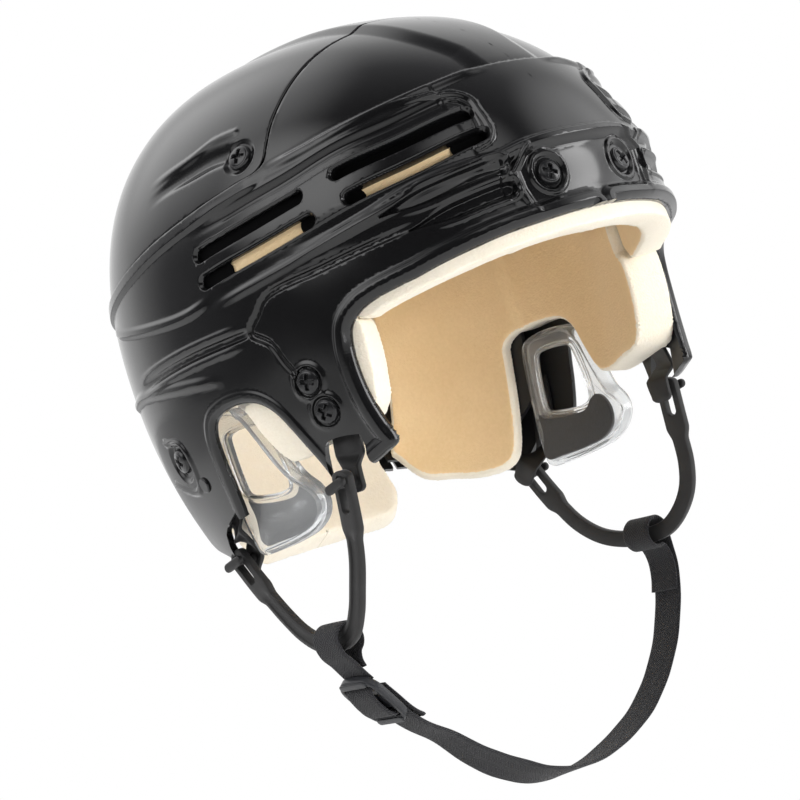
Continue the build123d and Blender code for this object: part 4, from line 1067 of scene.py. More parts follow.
def screw(name, p, n, r=5.2, height=2.4, turn=0.35, sink=0.6, mat=None):
    """Pan head with a rounded rim, a flat top and a cross recess."""
    u, w, n = frame_axes(n)
    m, k = 96, 36
    th = 2 * np.pi * np.arange(m) / m
    rings = []

    def top(x, y):
        rr = np.hypot(x, y) / r
        h = height * (1 - 0.38 * rr ** 2 - 0.62 * np.clip((rr - 0.80) / 0.20, 0, 1) ** 2.2)
        c, s = math.cos(turn), math.sin(turn)
        a, b2 = c * x + s * y, -s * x + c * y
        a, b2 = np.abs(a), np.abs(b2)
        arm = np.minimum(np.maximum(a - 3.0, b2 - 0.78), np.maximum(b2 - 3.0, a - 0.78))
        depth = 1.5 * sstep(0.22, -0.30, arm)
        ring = 0.12 * bump(np.hypot(x, y) - r * 0.78, 0.05, 0.25)
        return h - depth - ring
    rings.append([p + n * -sink + u * r * math.cos(t) + w * r * math.sin(t) for t in th])
    rings.append([p + n * 0.12 + u * r * math.cos(t) + w * r * math.sin(t) for t in th])
    for i in range(k):
        rr = r * (1 - (i / k) ** 1.0) if i else r * 0.997
        x, y = rr * np.cos(th), rr * np.sin(th)
        h = top(x, y)
        rings.append(p + n * h[:, None] + u * x[:, None] + w * y[:, None])
    return rings_object(name, rings, mat or M_SCREW, cap0=True, cap1=True, sharp=50.0)


def stadium(length, width, n=10):
    a = (length - width) / 2
    t = np.linspace(-np.pi / 2, np.pi / 2, n)
    right = np.stack([a + width / 2 * np.cos(t), width / 2 * np.sin(t)], 1)
    return np.vstack([right, -right])


def rounded_rect(lx, ly, r, n=6):
    out = []
    for cx, cy, a0 in ((lx / 2 - r, ly / 2 - r, 0), (-lx / 2 + r, ly / 2 - r, 90), (-lx / 2 + r, -ly / 2 + r, 180), (lx / 2 - r, -ly / 2 + r, 270)):
        for i in range(n + 1):
            a = math.radians(a0 + 90 * i / n)
            out.append((cx + r * math.cos(a), cy + r * math.sin(a)))
    return np.array(out)


# ------------------------------------------------------------------ shells
v, f, kd, vn = build_front()
front_shell = finish_piece(make_object("shell_front", v, f, [M_SHELL, M_SHELL_IN, M_SHELL], kd, sharp=32.0), "front_body",
                           ("front_shell",))
set_outer_normals(front_shell, vn, kd)
print("front faces", len(f))
v, f, kd, vn = build_rear()
rear_shell = finish_piece(make_object("shell_rear", v, f, [M_SHELL, M_SHELL_IN, M_SHELL], kd, sharp=32.0), "rear_body",
                          ("rear_shell",))
set_outer_normals(rear_shell, vn, kd)
print("rear faces", len(f))
FLANGE = [(-40.4, 210), (-40.4, 178), (-38, 139), (-38, 125), (-33, 119), (-22, 117), (27, 106.5), (27, 117), (-8, 124.5), (-8, 210)]
v, f, kd = build_sheet(FLANGE, 7.1, 9.3)
finish_piece(make_object("shell_front_flange", v, f, [M_SHELL_IN], None), "front_body", ("front_shell",))
v, f, kd = build_sheet(np.vstack([seam_s[seam_s[:, 0] < 30] - np.array([2.0, 2.0]), (seam_s[seam_s[:, 0] < 30] - np.array([4.6, 4.6]))[::-1]]), 2.0, 8.0)
finish_piece(make_object("shell_front_riser", v, f, [M_SHELL_IN], None), "front_body", ("front_shell",))
WING = [(33, 110), (33, 10), (40, 2), (60, -9.5), (80, -6.3), (100, -0.5), (140, 3.4), (150, 82), (95, 94.5), (70, 100.5), (45.2, 106.7)]
v, f, kd = build_sheet(WING, 9.8, 12.2, extra=lambda p: np.where(p[:, 1] > 0, 52.6 - p[:, 0], -20.0))
finish_piece(make_object("shell_rear_wings", v, f, [M_SHELL_IN], None), "rear_body", ("rear_shell",))


# dark sheet under the vent slots and their ends: painted shade for the dark depth seen through the slots
def vent_shade_field(p):
    d = np.full(len(p), 1e3)
    for c in (SLOTS[0], SLOTS[1], SLOTS[2][:10], SLOTS[2][-2:], SLOTS[3][:2], SLOTS[3][-9:]):
        dd, _ = near_curve(p, c, 14)
        d = np.minimum(d, dd)
    return d - 4.2


v, f = half_dome(6)
v, f = refine(v, f, None, 2.0, 1.0, 1, rounds=2)
v, f = cut(v, f, vent_shade_field)
nn = normals(v)
pos, faces, kd = sheet_solid(v, f, v - nn * 2.9, v - nn * 3.45)
# the painted-shade sheet, left and mirrored right
vent_shade_sheet = make_object("vent_shade_sheet_left", pos, faces, [M_VENT_SHADE], None)
finish_piece(vent_shade_sheet, "front_body", ("front_shell",))
finish_piece(mirrored(vent_shade_sheet, "vent_shade_sheet_right"), "front_body", ("front_shell",))


# ------------------------------------------------------------------ foam pads
from mathutils.kdtree import KDTree


def pad_solid(fields, o_out, o_in, radius=2.4, mirror=True, level=6, relief=None):
    v, f = half_dome(level, -38.0)
    v, f = refine(v, f, None, 4.0, 1.0, 1, rounds=2)
    for fn in fields:
        v, f = cut(v, f, fn)

    def depth(v, f):
        rim = rim_edges(f)
        mid = (v[rim[:, 0]] + v[rim[:, 1]]) / 2
        rim = rim[np.abs(mid[:, 0]) > 1e-5]
        pts = np.vstack([v[rim[:, 0]], (v[rim[:, 0]] + v[rim[:, 1]]) / 2])
        kt = KDTree(len(pts))
        for i, p in enumerate(pts):
            kt.insert(p, i)
        kt.balance()
        return kt
    kt = depth(v, f)

    def dist(p):
        return np.array([kt.find(q)[2] for q in p])

    def rnd(p):
        d = np.clip(radius - dist(p), 0, radius)
        return -(radius - np.sqrt(np.clip(radius ** 2 - d ** 2, 0, None)))
    v, f = refine(v, f, rnd, 3.2, 0.7, 0.35, rounds=3)
    n = normals(v)
    d = dist(v)
    oo = o_out(v) if callable(o_out) else np.full(len(v), o_out)
    oi = o_in(v) if callable(o_in) else np.full(len(v), o_in)
    t = np.clip(radius - d, 0, radius)
    oi = oi - (radius - np.sqrt(np.clip(radius ** 2 - t ** 2, 0, None)))
    t = np.clip(1.0 - d, 0, 1.0)
    oo = oo + (1.0 - np.sqrt(np.clip(1.0 - t ** 2, 0, None)))
    if relief is not None:
        oi = oi - relief(v)
    pos, faces, kind = sheet_solid(v, f, v - n * oo[:, None], v - n * oi[:, None], skip=(lambda m: np.abs(m[:, 0]) < 1e-5) if mirror else None)
    nf = len(f)
    dd = d[f].mean(1)
    kind[nf:2 * nf] = np.where(dd < 1.3, 2, 1)
    zc = v[f][:, :, 2].mean(1)
    kind[:nf] = np.where(zc < 84, 2, 0)
    if mirror:
        return mirror_join(pos, faces, kind)
    return pos, faces, kind


def hole(p0, n0, r):
    def fn(p):
        q = p - p0
        q = q - np.outer(q @ n0, n0)
        return r - np.linalg.norm(q, axis=1)
    return fn


def round_box(limits, r):
    """Rounded intersection of one-sided limits, each a function giving a signed distance."""
    def fn(p):
        d = np.stack([g(p) for g in limits])
        return np.sqrt((np.clip(d + r, 0, None) ** 2).sum(0)) + np.minimum((d + r).max(0), 0) - r
    return fn


FOREHEAD = [(-150, 116), (-61.8, 110), (-61.8, 62.8), (-66.0, 57.6), (-68.6, 57.2), (-73, 58.4), (-80, 60.2), (-88, 62.0), (-95, 63.6),
            (-103, 65.4), (-111, 67.4), (-121, 69.6), (-150, 70)]
SIDE = [(-61.2, 100), (-61.2, 62), (-65.2, 57), (-66.0, 48), (-65.2, 36), (-61.5, 23), (-56, 18.2), (-40, 15), (-24, 12.0), (-18.2, 12.6),
        (-14.4, 16), (-8.0, 27), (-3.6, 36.5), (1.5, 41.0), (12, 42.6), (26, 41.8), (34, 39.8), (39.4, 36), (40.2, 28), (40.4, -12), (42, -17),
        (46, -20), (60, -21), (72, -18.5), (84, -15), (97, 0), (100, 78), (62, 90), (-10, 99.5), (-30, 102)]


def poly_field(poly):
    poly = np.array(poly, float)
    return lambda p: sd2d(p, poly)


CREAMS = [M_TAN, M_TAN, M_CREAM]
v, f, kd = pad_solid([poly_field(FOREHEAD), lambda p: p[:, 0] - 104.0, hole(P_FR, N_FR, 5.6)], 3.6, 16.5)
finish_piece(make_object("pad_forehead", v, f, CREAMS, kd, sharp=50.0), "front_body", ("liner_forehead",))
SIDE_S = np.vstack([[(-61.2, 100)], smooth(SIDE[1:26], 2.0), SIDE[26:]])
v, f, kd = pad_solid([poly_field(SIDE_S), lambda p: np.where(p[:, 1] > 26, 49.2 - p[:, 0], -20.0), lambda p: 12.0 - p[:, 0]],
                     lambda p: 3.6 + 9.2 * sstep(27.5, 32.0, p[:, 1]),
                     lambda p: 16.5 + 2.5 * sstep(26.0, 33.0, p[:, 1]) + 4.0 * sstep(-22, -50, p[:, 1]) * sstep(92, 70, p[:, 2]), mirror=False)
left = finish_piece(make_object("pad_side_left", v, f, CREAMS, kd, sharp=50.0), "front_body", ("liner_side_left",))
finish_piece(mirrored(left, "pad_side_right"), "front_body", ("liner_side_right",))
v, f, kd = pad_solid([round_box([lambda p: p[:, 1] + 12, lambda p: -100 - p[:, 1], lambda p: 144.2 - p[:, 2], lambda p: p[:, 0] - 62], 8.0)], 9.7, 21.0)
finish_piece(make_object("pad_crown_front", v, f, CREAMS, kd, sharp=50.0), "front_body", ("liner_crown_front",))
v, f, kd = pad_solid([round_box([lambda p: 2 - p[:, 1], lambda p: 116.2 - p[:, 2], lambda p: p[:, 0] - 78], 8.0)], 3.6, 15.0)
finish_piece(make_object("pad_crown_rear", v, f, CREAMS, kd, sharp=50.0), "rear_body", ("liner_crown_rear",))
v, f, kd = pad_solid([round_box([lambda p: 60 - p[:, 1], lambda p: -27.5 - p[:, 2], lambda p: p[:, 2] - 76, lambda p: p[:, 0] - 48.0], 14.0)], 3.6, 16.5)
finish_piece(make_object("pad_occipital", v, f, [M_CREAM, M_CREAM, M_CREAM], kd, sharp=50.0), "rear_body", ("liner_occipital",))


# ------------------------------------------------------------------ ear guards and felts
GUARD = [(31.9, 30), (30.6, 35.6), (26, 38.4), (12, 40.0), (4.5, 38.8), (0, 35.0), (-4.6, 26.5), (-9.6, 14.8), (-13.4, 8), (-19, 2.5),
         (-21.3, -3), (-19.0, -9), (-11.5, -14.2), (0, -17), (16, -18.8), (26.5, -19.2), (29.2, -17.4), (30.2, -13.4), (31.4, -6), (31.8, 4)]
WINDOW = [(24.0, 25), (23.2, 29.0), (20, 30.6), (6, 30.8), (2.5, 29.8), (0.6, 26), (-3.4, 8.5), (-2.5, 5.0), (1.5, 3.6), (19, 4.4),
          (23.4, 6.0), (24.2, 10)]
EAR_FELT = [(26.4, 4.2), (24.0, 2.6), (-2.0, 1.4), (-6, 5.2), (-9.6, 6.6), (-13, 5.2), (-16.4, -0.7), (-15.8, -7.3), (-10.2, -12.0),
            (0, -14.2), (18, -15.6), (25.6, -15.8), (27.8, -13.4), (26.0, -4)]


def by_angle(outline, centre, n=260):
    c = smooth(outline, 0.4, closed=True)
    d = c - np.array(centre)
    a = np.arctan2(d[:, 1], d[:, 0])
    o = np.argsort(a)
    a, r = a[o], np.hypot(d[:, 0], d[:, 1])[o]
    th = np.linspace(-np.pi, np.pi, n, endpoint=False)
    rr = np.interp(th, np.concatenate([[a[-1] - 2 * np.pi], a, [a[0] + 2 * np.pi]]), np.concatenate([[r[-1]], r, [r[0]]]))
    return np.stack([centre[0] + rr * np.cos(th), centre[1] + rr * np.sin(th)], 1)


def offset2d(c, d):
    t = np.roll(c, -1, 0) - np.roll(c, 1, 0)
    n = np.stack([t[:, 1], -t[:, 0]], 1)
    n /= np.linalg.norm(n, axis=1, keepdims=True)
    return c + n * d          # outwards for a counter-clockwise outline


def lean(c, dx):
    return np.column_stack([85.8 + 0.105 * c[:, 1] + dx, c])


G_OUT = by_angle(GUARD, (10, 13))
G_WIN = by_angle(WINDOW, (10, 15))


def guard_top(c):
    """x of the wall's upper edge."""
    dome = side_x(c[:, 0], c[:, 1]) - 3.9
    low = 90.6 + 0.105 * c[:, 1]
    none = 88.3 + 0.105 * c[:, 1]
    rear = sstep(22.5, 26.5, c[:, 0])
    back = np.where(c[:, 1] > 2, low, none)
    t = dome * (1 - rear) + back * rear
    return np.maximum(t, none)


def build_guard(name):
    c0 = G_OUT
    c1 = offset2d(G_OUT, -2.2)
    top0, top1 = guard_top(c0), guard_top(c1)
    floor = 88.2 + 0.105 * c0[:, 1]
    tall = np.clip((top0 - floor) / 3.0, 0, 1)
    rings = [
        np.column_stack([top0 - 0.45 * tall, c0]),
        np.column_stack([top0, offset2d(G_OUT, -0.45)]),
        np.column_stack([np.maximum(top1, floor), offset2d(G_OUT, -1.75)]),
        np.column_stack([np.maximum(top1 - 0.45 * tall, floor), c1]),
        np.column_stack([floor + 0.9 * tall, offset2d(G_OUT, -2.25)]),
        np.column_stack([floor + 0.25 * tall, offset2d(G_OUT, -2.55)]),
        np.column_stack([floor, offset2d(G_OUT, -3.3)]),
        lean(offset2d(G_WIN, 2.35), 2.4),
        lean(offset2d(G_WIN, 2.05), 2.6),
        lean(offset2d(G_WIN, 1.95), 3.5),
        lean(offset2d(G_WIN, 1.7), 3.8),
        lean(offset2d(G_WIN, 1.1), 3.8),
        lean(offset2d(G_WIN, 0.9), 3.55),
        lean(offset2d(G_WIN, 0.85), 2.7),
        lean(offset2d(G_WIN, 0.4), 2.45),
        lean(offset2d(G_WIN, 0.1), 2.3),
        lean(G_WIN, 2.0),
        lean(G_WIN, 0.35),
        lean(offset2d(G_WIN, 0.35), 0.0),
        lean(offset2d(G_OUT, -1.4), 0.0),
        lean(offset2d(G_OUT, -0.4), 0.35),
        lean(G_OUT, 1.3),
    ]
    return rings_object(name, rings, M_CLEAR, wrap=True, sharp=34.0)


gl = build_guard("guard_left")
TONGUE = [(4.4, 47.5), (4.8, 36.4), (1.2, 33.6), (-1.6, 33.8), (-6, 39.0), (-36, 37.0), (-45, 36.5), (-46.5, 42), (-41, 46.5), (-30, 46.8)]
v, f = half_dome(6)
v, f = cut(v, f, poly_field(TONGUE))
v, f = cut(v, f, hole(P_T1, N_T1, 3.0))
v, f = refine(v, f, None, 3.0, 1, 1, rounds=2)
nn = normals(v)
pos, faces, kd = sheet_solid(v, f, v - nn * 3.4, v - nn * 5.3)
tongue = make_object("guard_tongue_tmp", pos, faces, [M_CLEAR], None)
gl = merge("guard_left", [gl, tongue])
gl.data.set_sharp_from_angle(angle=math.radians(34))
finish_piece(gl, "front_body", ("ear_guard_left",))
finish_piece(mirrored(gl, "guard_right"), "front_body", ("ear_guard_right",))
lz = math.hypot(1, 0.105)
felt = smooth(EAR_FELT, 1.2, closed=True) * np.array([1, lz])
fl = plate("felt_left", [felt], (83.4, 0, 0), (0, 1, 0), (0.105 / lz, 0, 1 / lz), 2.3, 0.6, M_FELT)
finish_piece(fl, "front_body", ("ear_felt_left",))
finish_piece(mirrored(fl, "felt_right"), "front_body", ("ear_felt_right",))

# ------------------------------------------------------------------ strap tabs with their T studs
STUD_FRONT = np.array([95.2, -40.8, 0.0])
STUD_REAR = np.array([86.3, 42.0, -19.5])
U_DIR = np.array([STUD_REAR[0] - STUD_FRONT[0], STUD_REAR[1] - STUD_FRONT[1], 0.0])
U_DIR /= np.linalg.norm(U_DIR)
W_DIR = np.array([U_DIR[1], -U_DIR[0], 0.0])
HINGE = np.array([-0.10406, 0.96809, -0.22799])
V_REAR = np.array([0.0, 0.64, -0.77])
V_REAR = V_REAR - W_DIR * np.dot(V_REAR, W_DIR)
V_REAR /= np.linalg.norm(V_REAR)
U_REAR = np.cross(W_DIR, V_REAR)
TAB_FACE = -5.7


def tab_section(c, u, n, width, thick=2.0):
    """Rounded section with a raised rib along each edge of the outer face."""
    u = u / np.linalg.norm(u)
    n = n / np.linalg.norm(n)
    a, t = width / 2, thick / 2
    pts = [(-a, -t + 0.5), (-a + 0.15, -t + 0.15), (-a + 0.5, -t), (a - 0.5, -t), (a - 0.15, -t + 0.15), (a, -t + 0.5), (a, t - 0.5),
           (a - 0.15, t - 0.12), (a - 0.5, t), (a - 1.3, t), (a - 1.75, t - 0.35), (-a + 1.75, t - 0.35), (-a + 1.3, t), (-a + 0.5, t),
           (-a + 0.15, t - 0.12), (-a, t - 0.5)]
    return np.array([c + u * p + n * q for p, q in pts])


def tab_rows(rows):
    """Dense rows by smooth interpolation between the given ones (centre, across, normal, width)."""
    c = np.array([np.concatenate([r[0], r[1] / np.linalg.norm(r[1]), r[2] / np.linalg.norm(r[2]), [r[3]]]) for r in rows])
    seg = np.linalg.norm(np.diff(c[:, :3], axis=0), axis=1)
    s = np.concatenate([[0], np.cumsum(seg)])
    out = []
    tt = np.arange(0, s[-1], 1.0).tolist() + [s[-1]]
    for q in tt:
        i = min(max(np.searchsorted(s, q) - 1, 0), len(seg) - 1)
        f2 = (q - s[i]) / seg[i]
        a = c[max(i - 1, 0)]
        b2, c2 = c[i], c[i + 1]
        d = c[min(i + 2, len(c) - 1)]
        m1 = (c2 - a) / 2
        m2 = (d - b2) / 2
        k1, k2 = 0.55, 0.55
        out.append((2 * f2 ** 3 - 3 * f2 ** 2 + 1) * b2 + (f2 ** 3 - 2 * f2 ** 2 + f2) * m1 * k1 + (-2 * f2 ** 3 + 3 * f2 ** 2) * c2
                   + (f2 ** 3 - f2 ** 2) * m2 * k2)
    return [tab_section(o[:3], o[3:6], o[6:9], o[9]) for o in out]


def on_dome(y, z, depth, run=None, across=None):
    p, n = side_point(y, z)
    if run is not None:
        r = np.array([0.0, run[0], run[1]])
        r = r - n * np.dot(r, n)
        u = np.cross(n, r)
    else:
        u = np.array([0.0, across[0], across[1]])
        u = u - n * np.dot(u, n)
    u = u / np.linalg.norm(u)
    return p - n * depth, u, n


def make_tab(name, rows, end_dir, width_end):
    r = [(*x[:3], x[3]) for x in rows]
    secs = tab_rows(r)
    c, u, n = r[-1][0], r[-1][1] / np.linalg.norm(r[-1][1]), r[-1][2]
    for e in (0.35, 0.6, 0.8, 0.93, 0.99):
        secs.append(tab_section(c + end_dir * 3.2 * e, u, n, width_end * math.sqrt(1 - e * e) + 1.6 * e))
    return rings_object(name, secs, M_TAB, sharp=40.0)


def t_bar(name, stud):
    x = HINGE - W_DIR * np.dot(HINGE, W_DIR)
    x /= np.linalg.norm(x)
    y = np.cross(W_DIR, x)
    bar = plate(name + "_bar", [stadium(13.0, 3.8)], stud + W_DIR * 2.9, x, y, 2.4, 0.9, M_TAB, sharp=50.0)
    th = np.linspace(0, 2 * np.pi, 20, endpoint=False)
    rings = []
    for h, r in ((-5.4, 2.6), (-4.6, 2.0), (-4.0, 1.5), (2.4, 1.5), (3.1, 1.7)):
        rings.append([stud + W_DIR * h + x * r * math.cos(t) + y * r * math.sin(t) for t in th])
    return [bar, rings_object(name + "_shank", rings, M_TAB)]


down = np.array([0, 0, -1.0])
rows = [(*on_dome(-45.2, 33.0, 4.7, run=(0, -1)), 11.0), (*on_dome(-46.0, 18.4, 4.7, run=(0, -1)), 12.0), (*on_dome(-46.2, 10.0, 1.7, run=(0.1, -1)), 12.4),
        (STUD_FRONT + W_DIR * TAB_FACE + np.array([0, 0, 5.2]), U_DIR, W_DIR, 10.6),
        (STUD_FRONT + W_DIR * TAB_FACE + np.array([0, 0, -1.4]), U_DIR, W_DIR, 9.6)]
if np.dot(rows[0][1], U_DIR) < 0:
    rows = [(a, -b2, c, d) if i < 3 else (a, b2, c, d) for i, (a, b2, c, d) in enumerate(rows)]
tf = merge("tab_front_left", [make_tab("tab_front_left_t", rows, down, 9.6)] + t_bar("tfl", STUD_FRONT))
finish_piece(tf, "front_body", ("strap_tab_front_left",))
finish_piece(mirrored(tf, "tab_front_right"), "front_body", ("strap_tab_front_right",))
rows = [(*on_dome(34.6, 19.5, 4.05, run=(-0.1, -1)), 10.4), (*on_dome(32.6, -4.9, 4.45, across=(-0.89, 0.45)), 11.6),
        (*on_dome(34.6, -9.9, 2.4, across=(-0.89, 0.45)), 12.0), (STUD_REAR + W_DIR * TAB_FACE - V_REAR * 5.6, U_REAR, W_DIR, 10.6),
        (STUD_REAR + W_DIR * TAB_FACE + V_REAR * 1.4, U_REAR, W_DIR, 9.6)]
rows = [(a, b2 if np.dot(b2, U_REAR) > 0 else -b2, c, d) for a, b2, c, d in rows]
tr = merge("tab_rear_left", [make_tab("tab_rear_left_t", rows, V_REAR, 9.6)] + t_bar("trl", STUD_REAR))
finish_piece(tr, "front_body", ("strap_tab_rear_left",))
finish_piece(mirrored(tr, "tab_rear_right"), "front_body", ("strap_tab_rear_right",))

# ------------------------------------------------------------------ rubber loops
LINE_LEFT = [(-41.0, 2.2), (-40.6, -8.0), (-40.2, -20.0), (-39.6, -32.0), (-36.4, -42.5), (-29.6, -51.2), (-20.8, -57.0),
             (-9.0, -58.6), (3.0, -57.8), (14.6, -54.0), (24.6, -46.6), (32.0, -37.0), (37.4, -28.4), (43.2, -17.8)]
LINE_RIGHT = [(-41.2, 2.2), (-40.0, -8.0), (-38.4, -18.6), (-35.6, -29.0), (-31.0, -39.0), (-26.2, -48.0), (-19.4, -55.6),
              (-9.0, -58.6), (3.0, -57.4), (12.6, -52.4), (20.8, -45.0), (28.4, -36.6), (35.4, -28.4), (43.3, -18.0)]


def loop_object(name, line):
    pts = smooth([((y - STUD_FRONT[1]) / U_DIR[1], z) for y, z in line], 0.8)
    seg = np.linalg.norm(np.diff(pts, axis=0), axis=1)
    s = np.concatenate([[0], np.cumsum(seg)])
    total = s[-1]
    stations = np.arange(0, total, 1.0).tolist() + [total]
    d0 = (pts[1] - pts[0]) / seg[0]
    d1 = (pts[-1] - pts[-2]) / seg[-1]
    rows = []
    for e in (0.985, 0.93, 0.82, 0.65, 0.4, 0.18):
        rows.append((pts[0] - d0 * 3.0 * e, d0, 10.4 * math.sqrt(1 - e * e), 0.0))
    for q in stations:
        p = np.array([np.interp(q, s, pts[:, 0]), np.interp(q, s, pts[:, 1])])
        a = np.array([np.interp(max(q - 1.2, 0), s, pts[:, k]) for k in (0, 1)])
        b2 = np.array([np.interp(min(q + 1.2, total), s, pts[:, k]) for k in (0, 1)])
        d = (b2 - a) / np.linalg.norm(b2 - a)
        fe = min(q, total - q)
        k = sstep(18.5, 24.5, fe)
        rows.append((p, d, 10.4 * (1 - k) + 7.0 * k, sstep(19.5, 25.0, fe)))
    for e in (0.18, 0.4, 0.65, 0.82, 0.93, 0.985):
        rows.append((pts[-1] + d1 * 3.0 * e, d1, 10.4 * math.sqrt(1 - e * e), 0.0))
    T = 1.8
    rings = []
    for p, d, w, g in rows:
        a = w / 2
        c = min(0.9, a * 0.6)
        gr = 0.75 * g
        sec = [(-a, -T + c), (-a + c * 0.3, -T + c * 0.3), (-a + c, -T), (0, -T), (a - c, -T), (a - c * 0.3, -T + c * 0.3), (a, -T + c), (a, T - c),
               (a - c * 0.3, T - c * 0.3), (a - c, T), (min(1.9, a * 0.5), T), (min(1.35, a * 0.42), T - gr * 0.85), (0.0, T - gr),
               (-min(1.35, a * 0.42), T - gr * 0.85), (-min(1.9, a * 0.5), T), (-a + c, T), (-a + c * 0.3, T - c * 0.3), (-a, T - c)]
        n2 = np.array([-d[1], d[0]])
        ring = []
        for u, h in sec:
            q = p + n2 * u
            ring.append(STUD_FRONT + U_DIR * q[0] + np.array([0, 0, q[1]]) + W_DIR * h)
        rings.append(ring)
    obj = rings_object(name, rings, M_RUBBER, sharp=42.0)
    # slots for the T studs
    cutters = []
    for q in (6.2, total - 6.2):
        p = np.array([np.interp(q, s, pts[:, 0]), np.interp(q, s, pts[:, 1])])
        a = np.array([np.interp(q - 1.5, s, pts[:, k]) for k in (0, 1)])
        b2 = np.array([np.interp(q + 1.5, s, pts[:, k]) for k in (0, 1)])
        d = (b2 - a) / np.linalg.norm(b2 - a)
        c3 = STUD_FRONT + U_DIR * p[0] + np.array([0, 0, p[1]])
        dx = U_DIR * d[0] + np.array([0, 0, d[1]])
        dy = np.cross(W_DIR, dx)
        st = stadium(14.4, 4.6, 9)
        rr = [[c3 + dx * (u * k2) + dy * (w2 * k2) + W_DIR * h for u, w2 in st] for h, k2 in
              ((-3.0, 1.16), (-1.9, 1.08), (-1.4, 1.0), (1.2, 1.0), (1.9, 1.1), (3.0, 1.2))]
        cutters.append(rings_object(name + "_cut", rr, M_RUBBER))
    for c in cutters:
        md = obj.modifiers.new("cut", "BOOLEAN")
        md.operation = "DIFFERENCE"
        md.solver = "EXACT"
        md.object = c
    dg = bpy.context.evaluated_depsgraph_get()
    mesh = bpy.data.meshes.new_from_object(obj.evaluated_get(dg))
    mesh.name = name
    obj.modifiers.clear()
    old = obj.data
    obj.data = mesh
    bpy.data.meshes.remove(old)
    for c in cutters:
        bpy.data.objects.remove(c)
    mesh.polygons.foreach_set("use_smooth", np.ones(len(mesh.polygons), bool))
    mesh.set_sharp_from_angle(angle=math.radians(42))
    return obj


finish_piece(loop_object("loop_rubber_left", LINE_LEFT), "loop_left", ("chin_loop_left",))
tmp = loop_object("loop_rubber_tmp", LINE_RIGHT)
finish_piece(mirrored(tmp, "loop_rubber_right"), "loop_right", ("chin_loop_right",))
bpy.data.objects.remove(tmp)

# ------------------------------------------------------------------ webbing
WRAP_X = 91.782
WRAP_Y, WRAP_Z = -9.0, -57.6
WRAP_R, WEB_T, WEB_W = 5.6, 1.6, 15.0
RW = WRAP_R + WEB_T / 2
BK_A = np.array([-88.4, -72.5])
BK_B = np.array([-73.6, -91.0])
BK_D = (BK_B - BK_A) / np.linalg.norm(BK_B - BK_A)
BK_N = np.array([BK_D[1], -BK_D[0]])


def web(name, path, width=WEB_W, thick=WEB_T, twist=None, centre_y=WRAP_Y, sway=None, step=0.9):
    """Webbing along a path in the x, z plane, its width along y. twist(s) in degrees, sway(s) in mm along y."""
    pts = smooth(path, step)
    seg = np.linalg.norm(np.diff(pts, axis=0), axis=1)
    s = np.concatenate([[0], np.cumsum(seg)])
    t = np.gradient(pts, s, axis=0)
    t /= np.linalg.norm(t, axis=1, keepdims=True)
    cols = np.linspace(-1, 1, 17)
    rings, uvs = [], []
    rng = np.random.default_rng(5)
    ph = rng.uniform(0, 6.28, 3)
    for i in range(len(pts)):
        T3 = np.array([t[i, 0], 0, t[i, 1]])
        Y = np.array([0, 1.0, 0])
        N = np.cross(T3, Y)
        a = math.radians(twist(s[i]) if twist else 0.0)
        U = Y * math.cos(a) + N * math.sin(a)
        M = np.cross(T3, U)
        cy = centre_y + (sway(s[i]) if sway else 0.0)
        c = np.array([pts[i, 0], cy, pts[i, 1]])
        ripple = 0.12 * math.sin(s[i] / 5.3 + ph[0]) + 0.08 * math.sin(s[i] / 2.9 + ph[1])
        up, dn = [], []
        for q in cols:
            edge = thick / 2 * math.sqrt(max(0.0, 1 - max(0.0, (abs(q) - 0.93) / 0.07) ** 2)) if abs(q) < 1 else 0.12
            edge = max(edge, 0.18)
            cup = ripple * q * q
            up.append(c + U * q * width / 2 + M * (edge + cup))
            dn.append(c + U * q * width / 2 + M * (-edge + cup))
        rings.append(np.array(up + dn[::-1]))
        uvs.append(s[i])
    rings = np.array(rings)
    n, m = rings.shape[:2]
    bm = bmesh.new()
    uvl = bm.loops.layers.uv.new("UVMap")
    vs = [[bm.verts.new(tuple(p * MM)) for p in r] for r in rings]
    ucol = np.concatenate([(cols + 1) * width / 2, (cols[::-1] + 1) * width / 2])
    for i in range(n - 1):
        for j in range(m):
            k = (j + 1) % m
            f = bm.faces.new((vs[i][j], vs[i][k], vs[i + 1][k], vs[i + 1][j]))
            f.smooth = True
            for lp, (u, w) in zip(f.loops, ((ucol[j], uvs[i]), (ucol[k], uvs[i]), (ucol[k], uvs[i + 1]), (ucol[j], uvs[i + 1]))):
                lp[uvl].uv = (u, w)
    for ring, w in ((vs[0][::-1], uvs[0]), (vs[-1], uvs[-1])):
        f = bm.faces.new(ring)
        for lp in f.loops:
            lp[uvl].uv = (7.5, w)
    bmesh.ops.recalc_face_normals(bm, faces=bm.faces)
    mesh = bpy.data.meshes.new(name)
    bm.to_mesh(mesh)
    bm.free()
    mesh.materials.append(M_WEB)
    mesh.set_sharp_from_angle(angle=math.radians(50))
    obj = bpy.data.objects.new(name, mesh)
    bpy.context.scene.collection.objects.link(obj)
    return obj


def arc(cx, cz, r, a0, a1, n=9):
    return [(cx + r * math.cos(math.radians(a)), cz + r * math.sin(math.radians(a))) for a in np.linspace(a0, a1, n)]


